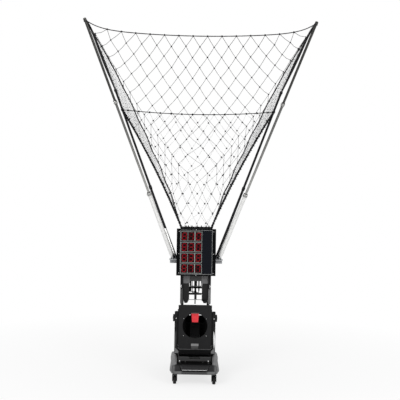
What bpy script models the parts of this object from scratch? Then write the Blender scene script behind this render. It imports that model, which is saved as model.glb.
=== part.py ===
"""Basketball shooting machine: a wheeled base, a launch head that turns on it, a mast with a scoreboard,
and a funnel net held up by four telescoping poles. Metres, +Z up, the front of the machine faces -Y. The
origin is on the floor, under the middle of the square that the four pole tips make."""

import math

import bmesh
import bpy
from mathutils import Matrix, Vector

GAP = 0.0003  # between pieces that touch
AXIS_Y = 0.365  # the upright line down which the balls fall, and about which the head turns
BALL_RADIUS = 0.123
MAST_X = 0.137  # inner faces of the mast's side frames
TUBE = 0.031  # side of the mast's square tube
POD_INNER = MAST_X + TUBE + 0.020  # the mast's columns stand in the deck between the cover's pods
RAIL_INNER = POD_INNER + 0.002
RAIL_OUTER = RAIL_INNER + 0.038

# Floor wheels
CASTER_RADIUS = 0.045
CASTER_WIDTH = 0.034
CASTER_X = (RAIL_INNER + RAIL_OUTER) / 2
CASTER_Y = -0.030
CASTER_TRAIL = 0.025
WHEEL_RADIUS = 0.075
WHEEL_WIDTH = 0.032
WHEEL_X = RAIL_OUTER + 0.021
WHEEL_Y = 0.700
WHEEL_STEPS = 20
AXLE_RADIUS = 0.008
PIN_RADIUS = 0.004

# Base
CHASSIS_LOW = 0.112
CHASSIS_HIGH = 0.150
CHASSIS_WALL = 0.0025
COVER_X = WHEEL_X + 0.024  # the cover's sides stand outside the floor wheels
COVER_FRONT = -0.035
COVER_BACK = 0.800
COVER_LOW = 0.115
COVER_HIGH = 0.265
COVER_WALL = 0.003
POD_ROUND = 0.038
DECK_Z = 0.205
CAP_X = 0.241
CAP_WALL = 0.004
HOUSING_X = 0.179
HOUSING_FRONT = 0.110
HOUSING_BACK = 0.600
HOUSING_HIGH = 0.262
BEARING_RADIUS = 0.130
BEARING_BORE = 0.060
HEAD_LOW = 0.2792  # underside of the head's floor

# Launch head
PLATE_Y = 0.130  # front face of the head's front plate
SHEET = 0.003  # thickness of the folded sheets
PLATE_X = 0.182
PLATE_LOW = 0.336
PLATE_HIGH = 0.818
OUTLET_RADIUS = 0.136
OUTLET_Z = 0.593
HEAD_X = 0.2202  # outer faces of the head chassis
HEAD_BACK = 0.560
SHOULDER_Z = 0.752
COVER_OUT = 0.2235
ROLLER_X = 0.150
ROLLER_Y = 0.205
ROLLER_RADIUS = 0.050
ROLLER_LOW = 0.5145
ROLLER_HIGH = 0.6845
SHELF = 0.004
RAMP_X = 0.053
RAMP_LEVEL = OUTLET_Z - OUTLET_RADIUS + 0.005  # its front edge is behind the rim of the outlet
RAMP_BEND_Y = 0.260
RAMP_BACK_Y = 0.500
RAMP_RISE = 2.4
FLAP_Y = 0.121
FLAP_Z = OUTLET_Z + OUTLET_RADIUS + 0.002  # the flap's pin is just above the outlet
FLAP_LENGTH = 0.105
KNOB_Y = 0.240
KNOB_Z = 0.660
KNOB_RADIUS = 0.040

# Mast
MAST_WALL = 0.002
UPRIGHT_Y = 0.185
MID_POST_Y = 0.385
COLUMN_Y = 0.680
MAST_LOW = 0.830
MAST_HIGH = 1.640
FRAME_TOP = 1.335
GUARD_Y = 0.198
GATE_Y = 0.210
GATE_Z = 1.008
REAR_GUARD_Y = 0.497
REAR_GUARD_HIGH = FRAME_TOP - 0.005

# Scoreboard
BOARD_X = 0.2145
BOARD_LOW = 1.138
BOARD_HIGH = 1.650
BOARD_FRONT = 0.134
BOARD_BACK = UPRIGHT_Y - GAP
FACE_X = 0.172
FACE_LOW = 1.157
FACE_HIGH = 1.633
CELL_WIDTH = 0.070
CELL_HEIGHT = 0.097
CELL_COLUMNS = (-0.130, -0.0545, 0.0235)
CELL_ROW_TOP = 1.567
CELL_ROW_STEP = 0.1167

# Hopper under the net
HOPPER_LOW_X = MAST_X - 0.005
HOPPER_TOP_X = 0.178
HOPPER_TOP_Y = AXIS_Y - UPRIGHT_Y - TUBE - 0.002  # just behind the uprights
HOPPER_LOW_Y = HOPPER_TOP_Y - 0.017
HOPPER_TOP = 1.6602
HOPPER_WALL = 0.0022
HOOK_X = (-0.120, -0.092, 0.004, 0.104, 0.136)  # the net's hooks along the front rim

# Pole brackets and poles
ARM_END = 0.289
ARM_Y = 0.240
ARM_SIDE = 0.040
ARM_TOP = FRAME_TOP - 0.030
BRACKET_TOP = ARM_TOP + 0.006
PIVOT_Z = BRACKET_TOP + 0.024
EAR = 0.004
LUG_HALF = 0.0102
TALL_FOOT = Vector((0.260, 0.220, PIVOT_Z))
NET_HALF = 1.035  # half the square of the pole tips
TALL_TIP = Vector((NET_HALF, -NET_HALF, 3.537))
SHORT_FOOT = Vector((0.231, 0.300, PIVOT_Z))
SHORT_TIP = Vector((NET_HALF, NET_HALF - 0.001, 3.349))
TALL_RADII = (0.023, 0.0194, 0.0158)
SHORT_RADII = (0.017, 0.0137)
TUBE_WALL = 0.0033
POLE_SIDES = 16
TALL_SPLITS = (0.820, 1.850)
SHORT_SPLIT = 0.895
OVERLAP = 0.120
TIP_RADIUS = 0.0195
COLLAR = 0.005  # how far a collar stands out of its tube

# Net
STRAND = 0.005
NET_LOW = HOPPER_TOP + STRAND / 2 + 0.0006
NET_LOW_X = HOPPER_TOP_X - 0.002
NET_LOW_FRONT = AXIS_Y - HOPPER_TOP_Y + 0.0025
NET_LOW_BACK = AXIS_Y + HOPPER_TOP_Y - 0.0025
REAR_ROPE_SHARE = 0.866  # how far up the short pole the rear rope is tied
SEAM_PULL = 0.045
SEAM_GAP = 0.0106
TIP_OFFSET = TIP_RADIUS + 0.0070
FRONT_SAG = 0.125
REAR_SAG = 0.045
SIDE_SAG = 0.050
NET_ROWS = 6
NET_FRONT_COLUMNS = 7
NET_REAR_COLUMNS = 6
NET_SIDE_COLUMNS = 4

FINISHES = {
    "black_plastic": ((0.022, 0.022, 0.024), 0.45, 0.0),
    "dark_metal": ((0.035, 0.036, 0.038), 0.42, 0.3),
    "dark_plate": ((0.030, 0.030, 0.031), 0.55, 0.0),
    "grey_metal": ((0.32, 0.33, 0.34), 0.40, 0.7),
    "grey_plastic": ((0.20, 0.20, 0.21), 0.45, 0.0),
    "silver": ((0.70, 0.70, 0.71), 0.25, 1.0),
    "steel": ((0.45, 0.45, 0.46), 0.35, 1.0),
    "rubber": ((0.020, 0.020, 0.020), 0.80, 0.0),
    "red": ((0.75, 0.05, 0.06), 0.45, 0.0),
    "face": ((0.015, 0.020, 0.030), 0.20, 0.0),
    "cord": ((0.030, 0.030, 0.032), 0.85, 0.0),
}

UP = Vector((0.0, 0.0, 1.0))
AXIS = Vector((0.0, AXIS_Y, 0.0))


def collection(name):
    made = bpy.data.collections.new(name)
    bpy.context.scene.collection.children.link(made)
    return made


for old in list(bpy.data.objects):
    bpy.data.objects.remove(old)
PARTS = collection("basketball_shooting_machine")
CUTTERS = collection("cutters")


def finish(name):
    material = bpy.data.materials.get(name)
    if material is None:
        colour, roughness, metallic = FINISHES[name]
        material = bpy.data.materials.new(name)
        material.use_nodes = True
        shader = material.node_tree.nodes["Principled BSDF"]
        shader.inputs["Base Color"].default_value = (*colour, 1.0)
        shader.inputs["Roughness"].default_value = roughness
        shader.inputs["Metallic"].default_value = metallic
    return material


def place(mesh, name, matrix, material):
    """A new object of this mesh: a part if it has a material, and if not, a hidden cutter or building block."""
    obj = bpy.data.objects.new(name, mesh)
    obj.matrix_world = matrix
    if material:
        PARTS.objects.link(obj)
        mesh.materials.append(finish(material))
    else:
        CUTTERS.objects.link(obj)
        obj.hide_render = True
        obj.display_type = "WIRE"
    return obj


def mesh_of(bm, name):
    bmesh.ops.recalc_face_normals(bm, faces=bm.faces[:])
    mesh = bpy.data.meshes.new(name)
    bm.to_mesh(mesh)
    bm.free()
    return mesh


def lowest(edge):
    return all(v.co.z < 0 for v in edge.verts)


def box(name, low, high, material=None, rounded=0.0, segments=3, sharp=None):
    """A box between two corners, with its edges rounded if asked, but for those that sharp picks out."""
    low, high = Vector(map(min, low, high)), Vector(map(max, low, high))
    size = high - low
    bm = bmesh.new()
    bmesh.ops.create_cube(bm, size=1.0, matrix=Matrix.Diagonal((*size, 1.0)))
    if rounded:
        chosen = [edge for edge in bm.edges if not (sharp and sharp(edge))]
        bmesh.ops.bevel(bm, geom=chosen, offset=rounded, segments=segments, profile=0.5, affect="EDGES")
    return place(mesh_of(bm, name), name, Matrix.Translation((low + high) / 2), material)


def aim(start, direction, turn=0.0):
    """A matrix that puts +Z along direction at start, after a turn about +Z."""
    matrix = direction.to_track_quat("Z", "Y").to_matrix().to_4x4()
    return Matrix.Translation(start) @ matrix @ Matrix.Rotation(turn, 4, "Z")


def rod(name, start, end, radius, material=None, sides=16):
    start, end = Vector(start), Vector(end)
    bm = bmesh.new()
    bmesh.ops.create_cone(
        bm, cap_ends=True, segments=sides, radius1=radius, radius2=radius, depth=(end - start).length
    )
    mesh = mesh_of(bm, name)
    for polygon in mesh.polygons:
        polygon.use_smooth = len(polygon.vertices) == 4
    return place(mesh, name, aim((start + end) / 2, end - start), material)


def turned(name, profile, start, direction, material=None, steps=24, turn=0.0, closed=False):
    """A turned shape. The profile's points are (radius, height), and run down its outer side."""
    bm = bmesh.new()
    verts = [bm.verts.new((radius, 0.0, height)) for radius, height in profile]
    for a, b in zip(verts, verts[1:]):
        bm.edges.new((a, b))
    if closed:
        bm.edges.new((verts[-1], verts[0]))
    mesh = bpy.data.meshes.new(name)
    bm.to_mesh(mesh)
    bm.free()
    obj = place(mesh, name, aim(Vector(start), Vector(direction), turn), material)
    screw = obj.modifiers.new("turn", "SCREW")
    screw.axis = "Z"
    screw.steps = steps
    screw.render_steps = steps
    screw.use_merge_vertices = True
    screw.merge_threshold = 0.00001
    screw.use_smooth_shade = True
    return obj


def sheet(name, outline, thickness, matrix, material=None, holes=()):
    """A flat outline in the matrix's XY plane, given its thickness evenly to both sides of that plane."""
    curve = bpy.data.curves.new(name, "CURVE")
    curve.dimensions = "2D"
    curve.fill_mode = "BOTH"
    curve.extrude = thickness / 2
    for points in (outline, *holes):
        spline = curve.splines.new("POLY")
        spline.points.add(len(points) - 1)
        for point, (x, y) in zip(spline.points, points):
            point.co = (x, y, 0.0, 1.0)
        spline.use_cyclic_u = True
    drawn = bpy.data.objects.new(name + "_outline", curve)
    CUTTERS.objects.link(drawn)
    mesh = bpy.data.meshes.new_from_object(drawn.evaluated_get(bpy.context.evaluated_depsgraph_get()))
    bpy.data.objects.remove(drawn)
    bm = bmesh.new()
    bm.from_mesh(mesh)
    bpy.data.meshes.remove(mesh)
    bmesh.ops.remove_doubles(bm, verts=bm.verts[:], dist=0.000001)
    return place(mesh_of(bm, name), name, matrix, material)


def facing(x_axis, y_axis, origin):
    """A matrix whose X and Y axes lie along these directions, at origin."""
    x_axis, y_axis = Vector(x_axis).normalized(), Vector(y_axis).normalized()
    z_axis = x_axis.cross(y_axis)
    matrix = Matrix((x_axis, y_axis, z_axis)).transposed().to_4x4()
    return Matrix.Translation(Vector(origin)) @ matrix


def front_view(y):
    return facing((1, 0, 0), (0, 0, 1), (0, y, 0))


def side_view(x):
    return facing((0, 1, 0), (0, 0, 1), (x, 0, 0))


def rectangle(x_low, x_high, y_low, y_high):
    return [(x_low, y_low), (x_high, y_low), (x_high, y_high), (x_low, y_high)]


def circle(x, y, radius, count=32):
    return [
        (x + radius * math.cos(math.tau * i / count), y + radius * math.sin(math.tau * i / count))
        for i in range(count)
    ]


def round_corners(points, radius, steps=3):
    """The outline with each corner replaced by an arc of this radius, or a smaller one on short sides."""
    rounded = []
    count = len(points)
    for i in range(count):
        before, corner, after = (Vector(points[(i + k) % count]) for k in (-1, 0, 1))
        to_before, to_after = before - corner, after - corner
        half = to_before.angle(to_after) / 2
        reach = min(radius / math.tan(half), 0.48 * to_before.length, 0.48 * to_after.length)
        start, end = corner + to_before.normalized() * reach, corner + to_after.normalized() * reach
        for k in range(steps + 1):
            share = k / steps
            rounded.append(tuple(
                start * (1 - share) ** 2 + corner * 2 * share * (1 - share) + end * share ** 2
            ))
    return rounded


def boolean(obj, operation, others):
    for other in others:
        modifier = obj.modifiers.new(operation.lower(), "BOOLEAN")
        modifier.operation = operation
        modifier.object = other
    return obj


def cut(obj, *cutters):
    return boolean(obj, "DIFFERENCE", cutters)


def join(obj, *others):
    return boolean(obj, "UNION", others)


def bevel(obj, width, segments=2, degrees=50):
    modifier = obj.modifiers.new("bevel", "BEVEL")
    modifier.width = width
    modifier.segments = segments
    modifier.limit_method = "ANGLE"
    modifier.angle_limit = math.radians(degrees)
    return obj


def on_joint(name, point, *pieces, parent=None):
    """An empty on a joint's axis, which carries the pieces that move with it."""
    empty = bpy.data.objects.new(name, None)
    empty.empty_display_size = 0.03
    PARTS.objects.link(empty)
    empty.location = point
    bpy.context.view_layer.update()
    if parent:
        hang(empty, parent)
    for piece in pieces:
        hang(piece, empty)
    return empty


def hang(obj, parent):
    bpy.context.view_layer.update()
    obj.parent = parent
    obj.matrix_parent_inverse = parent.matrix_world.inverted()


def sided(side, point):
    """The point as given for the right side, or mirrored for the left."""
    return Vector((side * point[0], point[1], point[2]))


def side_name(side):
    return "right" if side > 0 else "left"


# Base


def wheel_axle_height(radius):
    """A wheel stands on the flat of one facet, so its axle is that much lower than its radius."""
    return radius * math.cos(math.pi / WHEEL_STEPS)


def wheel(name, radius, width, bore, centre, axis=(1, 0, 0)):
    """A tyre on a dished hub, turned about its axle, with a facet facing the floor."""
    half, edge = width / 2, width * 0.18
    outside = [
        (bore, half), (radius * 0.32, half), (radius * 0.70, half * 0.5), (radius - edge, half),
        (radius, half - edge),
    ]
    profile = outside + [(r, -h) for r, h in reversed(outside)]
    return turned(
        name, profile, centre, axis, "rubber", WHEEL_STEPS, math.pi / WHEEL_STEPS, closed=True
    )


def chassis():
    rails = [
        box(
            f"rail_{side_name(side)}",
            (side * RAIL_INNER, COVER_FRONT + COVER_WALL + GAP, CHASSIS_LOW),
            (side * RAIL_OUTER, COVER_BACK - COVER_WALL - GAP, CHASSIS_HIGH),
            "dark_metal" if side < 0 else None,
        )
        for side in (-1, 1)
    ]
    frame = rails[0]
    frame.name = "chassis_frame"
    member = 0.020
    member_places = (-0.010, AXIS_Y, COLUMN_Y + TUBE / 2)
    reach = RAIL_INNER + 0.01
    members = [
        box("cross_member", (-reach, y - member, CHASSIS_LOW), (reach, y + member, CHASSIS_HIGH))
        for y in member_places
    ]
    axle_z = wheel_axle_height(WHEEL_RADIUS)
    ears = [
        box(
            "axle_ear",
            (side * (RAIL_INNER + 0.010), WHEEL_Y - 0.018, axle_z - 0.020),
            (side * (RAIL_INNER + 0.016), WHEEL_Y + 0.018, CHASSIS_LOW + 0.010),
        )
        for side in (-1, 1)
    ]
    join(frame, rails[1], *members, *ears)
    wall = CHASSIS_WALL
    bores = [
        box(
            "rail_bore", (side * (RAIL_INNER + wall), COVER_FRONT - 0.05, CHASSIS_LOW + wall),
            (side * (RAIL_OUTER - wall), COVER_BACK + 0.05, CHASSIS_HIGH - wall),
        )
        for side in (-1, 1)
    ]
    bores += [
        box(
            "member_bore", (-RAIL_INNER - 0.02, y - member + wall, CHASSIS_LOW + wall),
            (RAIL_INNER + 0.02, y + member - wall, CHASSIS_HIGH - wall),
        )
        for y in member_places
    ]
    cut(frame, *bores)
    cut(frame, rod("axle_bore", (-0.3, WHEEL_Y, axle_z), (0.3, WHEEL_Y, axle_z), AXLE_RADIUS + GAP))
    return frame


def rear_wheels(frame):
    axle_z = wheel_axle_height(WHEEL_RADIUS)
    end = WHEEL_X + WHEEL_WIDTH / 2 + 0.003
    axle = rod("rear_axle", (-end, WHEEL_Y, axle_z), (end, WHEEL_Y, axle_z), AXLE_RADIUS, "steel")
    hang(axle, frame)
    for side in (-1, 1):
        centre = sided(side, (WHEEL_X, WHEEL_Y, axle_z))
        name = f"rear_wheel_{side_name(side)}"
        tyre = wheel(name, WHEEL_RADIUS, WHEEL_WIDTH, AXLE_RADIUS + GAP, centre)
        on_joint(name + "_spin", centre, tyre, parent=frame)


def casters(frame):
    axle_z = wheel_axle_height(CASTER_RADIUS)
    axle_y = CASTER_Y + CASTER_TRAIL
    leg = 0.003
    inner = CASTER_WIDTH / 2 + GAP * 3
    top = CHASSIS_LOW - GAP
    for side in (-1, 1):
        x = side * CASTER_X
        fork = rod(
            f"caster_fork_{side_name(side)}", (x, CASTER_Y, top - 0.012), (x, CASTER_Y, top), 0.024,
            "dark_metal", 24,
        )
        outline = [
            (CASTER_Y - 0.023, top - 0.004),
            (CASTER_Y + 0.024, top - 0.004),
            (axle_y + 0.021, axle_z + 0.010),
            (axle_y + 0.010, axle_z - 0.012),
            (axle_y - 0.010, axle_z - 0.012),
            (axle_y - 0.021, axle_z + 0.010),
        ]
        legs = [
            sheet("fork_leg", round_corners(outline, 0.008), leg, side_view(x + way * (inner + leg / 2)))
            for way in (-1, 1)
        ]
        crown = box(
            "fork_crown", (x - inner - leg, CASTER_Y - 0.020, top - 0.012),
            (x + inner + leg, CASTER_Y + 0.022, top - 0.004),
        )
        reach = inner + leg + 0.002
        axle = rod("fork_axle", (x - reach, axle_y, axle_z), (x + reach, axle_y, axle_z), PIN_RADIUS)
        join(fork, crown, *legs, axle)
        centre = Vector((x, axle_y, axle_z))
        name = f"caster_wheel_{side_name(side)}"
        tyre = wheel(name, CASTER_RADIUS, CASTER_WIDTH, PIN_RADIUS + GAP, centre)
        swivel = on_joint(f"caster_swivel_{side_name(side)}", (x, CASTER_Y, top), fork, parent=frame)
        on_joint(name + "_spin", centre, tyre, parent=swivel)


def base_cover(frame):
    """The moulded cover: a rounded pod along each side, joined by a lower deck, all one shell open below."""
    wall = COVER_WALL

    def low_or_inner(side):
        """Picks a pod's lowest edges, and the upright ones on its inner face, which the rails run past."""
        return lambda edge: lowest(edge) or (
            all(v.co.x * side < 0 for v in edge.verts) and edge.verts[0].co.z * edge.verts[1].co.z < 0
        )

    cover = box(
        "base_cover", (-POD_INNER - 0.005, COVER_FRONT, COVER_LOW), (POD_INNER + 0.005, COVER_BACK, DECK_Z),
        "black_plastic",
    )
    pods = [
        box(
            "pod", (side * POD_INNER, COVER_FRONT, COVER_LOW), (side * COVER_X, COVER_BACK, COVER_HIGH),
            rounded=POD_ROUND, sharp=low_or_inner(side),
        )
        for side in (-1, 1)
    ]
    hollows = [
        box(
            "pod_hollow",
            (side * (POD_INNER + wall), COVER_FRONT + wall, COVER_LOW - 0.05),
            (side * (COVER_X - wall), COVER_BACK - wall, COVER_HIGH - wall),
            rounded=POD_ROUND - wall, sharp=low_or_inner(side),
        )
        for side in (-1, 1)
    ]
    under = box(
        "deck_hollow",
        (-POD_INNER - 0.012, COVER_FRONT + wall, COVER_LOW - 0.05),
        (POD_INNER + 0.012, COVER_BACK - wall, DECK_Z - wall),
    )
    arches = [
        rod(
            "wheel_arch", (side * (COVER_X - 0.012), WHEEL_Y, WHEEL_RADIUS),
            (side * (COVER_X + 0.02), WHEEL_Y, WHEEL_RADIUS), WHEEL_RADIUS + 0.011, sides=24,
        )
        for side in (-1, 1)
    ]
    column_holes = [
        box(
            "column_hole",
            (side * (MAST_X - GAP), COLUMN_Y - GAP, DECK_Z - 0.02),
            (side * (MAST_X + TUBE + GAP), COLUMN_Y + TUBE + GAP, DECK_Z + 0.02),
        )
        for side in (-1, 1)
    ]
    motor_hole = rod(
        "motor_hole", AXIS + UP * (DECK_Z - 0.02), AXIS + UP * (DECK_Z + 0.02), BEARING_BORE, sides=32
    )
    join(cover, *pods)
    cut(cover, under, *hollows, *arches, *column_holes, motor_hole)
    hang(cover, frame)


def front_cap(frame):
    """The moulded bumper: bulged at the bottom, sloping back above, with a shallow inset panel in the slope."""
    back = COVER_FRONT - GAP
    profile = [
        (back, 0.117), (-0.072, 0.117), (-0.084, 0.121), (-0.088, 0.133), (-0.086, 0.150), (-0.072, 0.178),
        (-0.060, 0.200), (-0.048, 0.209), (back, 0.212),
    ]
    inner = [
        (back + 0.02, 0.117 + CAP_WALL), (-0.071, 0.117 + CAP_WALL), (-0.0835, 0.134), (-0.082, 0.149),
        (-0.068, 0.176), (-0.057, 0.196), (-0.047, 0.205), (back + 0.02, 0.208),
    ]
    cap = sheet("front_cap", profile, 2 * CAP_X, side_view(0), "black_plastic")
    bevel(cap, 0.010, 3, 70)
    hollow = sheet("cap_hollow", inner, 2 * (CAP_X - CAP_WALL), side_view(0))
    slope = Vector((0, 0.026, 0.050))
    panel = [(-0.134, -0.022), (0.134, -0.022), (0.152, 0.024), (-0.152, 0.024)]
    inset = sheet(
        "inset_panel", round_corners(panel, 0.012), 0.004, facing((1, 0, 0), slope, (0, -0.0735, 0.175))
    )
    cut(cap, hollow, inset)
    hang(cap, frame)


def turntable(frame):
    low = DECK_Z + GAP
    housing = box(
        "turntable_housing", (-HOUSING_X, HOUSING_FRONT, low), (HOUSING_X, HOUSING_BACK, HOUSING_HIGH),
        "grey_plastic", rounded=0.006, segments=2, sharp=lowest,
    )
    inside = box(
        "housing_hollow",
        (COVER_WALL - HOUSING_X, HOUSING_FRONT + COVER_WALL, low - 0.02),
        (HOUSING_X - COVER_WALL, HOUSING_BACK - COVER_WALL, HOUSING_HIGH - COVER_WALL),
    )
    notch = sheet(
        "front_notch", [(-0.055, 0.240), (0.055, 0.240), (0.071, 0.270), (-0.071, 0.270)], 0.030,
        front_view(HOUSING_FRONT + 0.010),
    )
    bore = rod("bearing_hole", AXIS + UP * 0.25, AXIS + UP * 0.28, BEARING_BORE - 0.004, sides=32)
    cut(housing, inside, notch, bore)
    low, high = HOUSING_HIGH + GAP, HEAD_LOW - GAP
    middle = (low + high) / 2
    ring = [
        (BEARING_BORE, high), (BEARING_RADIUS, high), (BEARING_RADIUS - 0.006, middle), (BEARING_RADIUS, low),
        (BEARING_BORE, low),
    ]
    bearing = turned("turntable_bearing", ring, AXIS, UP, "dark_metal", 32, closed=True)
    foot, end = CHASSIS_HIGH + GAP, HEAD_LOW - 2 * GAP
    motor = turned(
        "yaw_motor",
        [
            (0.0, end), (0.010, end), (0.010, 0.240), (0.034, 0.240), (0.038, 0.236), (0.038, foot),
            (0.0, foot),
        ],
        AXIS, UP, "dark_metal", 20,
    )
    for piece in (housing, bearing, motor):
        hang(piece, frame)


def power_inlet(frame):
    """Appliance inlet and rocker switch on the back of the base."""
    y = COVER_BACK + GAP
    panel = box("power_panel", (-0.075, y, 0.135), (0.075, y + 0.0057, 0.195), "dark_plate")
    socket = box("inlet_recess", (-0.055, y + 0.002, 0.150), (-0.020, y + 0.02, 0.178))
    pins = [
        box("inlet_pin", (x - 0.002, y, 0.160), (x + 0.002, y + 0.005, 0.168))
        for x in (-0.0475, -0.0375, -0.0275)
    ]
    window = box("switch_window", (0.035, y - 0.01, 0.1495), (0.055, y + 0.02, 0.1805))
    cut(panel, socket, window)
    join(panel, *pins)
    rocker = box(
        "power_switch", (0.035 + GAP, y + 0.0027, 0.152), (0.055 - GAP, y + 0.0087, 0.178), "black_plastic"
    )
    bevel(rocker, 0.0012, 2)
    hang(panel, frame)
    on_joint("power_switch_rock", (0.045, y + 0.0057, 0.165), rocker, parent=frame)


# Mast


def side_frames(frame):
    for side in (-1, 1):
        inner, outer = side * MAST_X, side * (MAST_X + TUBE)
        upright = box(
            f"side_frame_{side_name(side)}", (inner, UPRIGHT_Y, MAST_LOW), (outer, UPRIGHT_Y + TUBE, MAST_HIGH),
            "dark_metal",
        )
        column = box("column", (inner, COLUMN_Y, CHASSIS_HIGH + GAP), (outer, COLUMN_Y + TUBE, FRAME_TOP))
        post = box("mid_post", (inner, MID_POST_Y, MAST_LOW), (outer, MID_POST_Y + TUBE, FRAME_TOP))
        rails = [
            box("frame_rail", (inner, UPRIGHT_Y, z), (outer, COLUMN_Y + TUBE, z + TUBE))
            for z in (MAST_LOW, FRAME_TOP - TUBE)
        ]
        join(upright, column, post, *rails)
        wall = MAST_WALL
        near, far = inner + side * wall, outer - side * wall
        uprights = [
            box("upright_bore", (near, y + wall, low), (far, y + TUBE - wall, high))
            for y, low, high in (
                (UPRIGHT_Y, MAST_LOW + wall, MAST_HIGH + 0.01),
                (MID_POST_Y, MAST_LOW + wall + 0.001, FRAME_TOP - wall - 0.001),
                (COLUMN_Y, CHASSIS_HIGH - 0.01, FRAME_TOP - wall),
            )
        ]
        levels = [
            box(
                "rail_bore", (near, UPRIGHT_Y + wall + 0.001, z + wall + 0.0005),
                (far, COLUMN_Y + TUBE - wall - 0.001, z + TUBE - wall - 0.0005),
            )
            for z in (MAST_LOW, FRAME_TOP - TUBE)
        ]
        cut(upright, *uprights, *levels)
        hang(upright, frame)


def guards(frame):
    """The sheets that close the ball channel's front, with slots and windows, and the straps at its back."""
    wide = MAST_X - GAP
    high, step, low = BOARD_LOW - GAP, 1.0473, GATE_Z + 0.006
    upper = sheet(
        "upper_guard",
        [
            (-wide, step), (-0.066, step), (-0.066, low), (0.066, low), (0.066, step), (wide, step),
            (wide, high), (-wide, high),
        ],
        SHEET, front_view(GUARD_Y + SHEET / 2), "grey_metal",
        holes=[
            round_corners(rectangle(x - 0.0085, x + 0.0085, 1.022, 1.073), 0.003, 2)
            for x in (-0.050, -0.025, 0.0, 0.025, 0.050)
        ],
    )
    plates = []
    for side in (-1, 1):
        outline = [
            (side * 0.0693, 1.047), (side * wide, 1.047), (side * wide, 0.868), (side * 0.118, 0.850),
            (side * 0.090, 0.852), (side * 0.0693, 0.868),
        ]
        plates.append(sheet(
            "lower_guard" if side < 0 else "guard_half", round_corners(outline, 0.006), SHEET,
            front_view(GUARD_Y + SHEET / 2), "dark_plate" if side < 0 else None,
        ))
    lower = plates[0]
    front, back = GUARD_Y, GUARD_Y + SHEET
    bars = [
        box("guard_bar", (-0.071, front, 0.930), (0.071, back, 0.940)),
        box("guard_wire", (-0.071, front, 0.8665), (0.071, back, 0.8715)),
        box("guard_post", (-0.013, front, 0.8690), (0.013, back, 0.935)),
        box("guard_rod", (-0.005, front, PLATE_HIGH + 0.004), (0.005, back, 0.870)),
    ]
    ears = [
        box(
            "gate_ear", (side * 0.0700, back - 0.001, GATE_Z - 0.010),
            (side * 0.0740, GATE_Y + 0.009, GATE_Z + 0.010),
        )
        for side in (-1, 1)
    ]
    join(lower, plates[1], *bars, *ears)
    cut(lower, rod("gate_bore", (-0.1, GATE_Y, GATE_Z), (0.1, GATE_Y, GATE_Z), PIN_RADIUS + GAP))
    straps = [
        box(
            "strap", (side * 0.095, REAR_GUARD_Y, 0.836), (side * 0.120, REAR_GUARD_Y + SHEET, REAR_GUARD_HIGH),
            "dark_plate" if side < 0 else None,
        )
        for side in (-1, 1)
    ]
    rear = straps[0]
    rear.name = "rear_guard"
    bars = [
        box(
            "rear_bar", (-wide, REAR_GUARD_Y, REAR_GUARD_HIGH - 0.024),
            (wide, REAR_GUARD_Y + SHEET, REAR_GUARD_HIGH),
        ),
        box("rear_bar", (-0.11, REAR_GUARD_Y, 0.955), (0.11, REAR_GUARD_Y + SHEET, 0.975)),
    ]
    feet = [
        box("strap_foot", (side * 0.110, REAR_GUARD_Y, 0.836), (side * wide, REAR_GUARD_Y + SHEET, 0.856))
        for side in (-1, 1)
    ]
    join(rear, straps[1], *bars, *feet)
    for piece in (upper, lower, rear):
        hang(piece, frame)


def hook_outline(side):
    """A J that hangs from the gate's rod and curls in towards the middle."""
    x, low, wide = side * 0.036, GATE_Z - 0.050, 0.008
    inner, outer = 0.010, 0.010 + wide
    turn = [math.pi * i / 6 for i in range(7)]
    centre = (x - side * (inner + wide / 2), low)
    outside = [(centre[0] + side * outer * math.cos(a), centre[1] - outer * math.sin(a)) for a in turn]
    inside = [(centre[0] + side * inner * math.cos(a), centre[1] - inner * math.sin(a)) for a in reversed(turn)]
    return [(x + side * wide / 2, GATE_Z), *outside, *inside, (x - side * wide / 2, GATE_Z)]


def ball_gate(frame):
    """A rod with two hooks, which lets one ball at a time down to the head."""
    reach = 0.0775
    gate = rod("ball_gate", (-reach, GATE_Y, GATE_Z), (reach, GATE_Y, GATE_Z), PIN_RADIUS, "dark_metal")
    hooks = [sheet("gate_hook", hook_outline(side), 0.004, front_view(GATE_Y)) for side in (-1, 1)]
    join(gate, *hooks)
    on_joint("ball_gate_swing", (0, GATE_Y, GATE_Z), gate, parent=frame)


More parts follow.
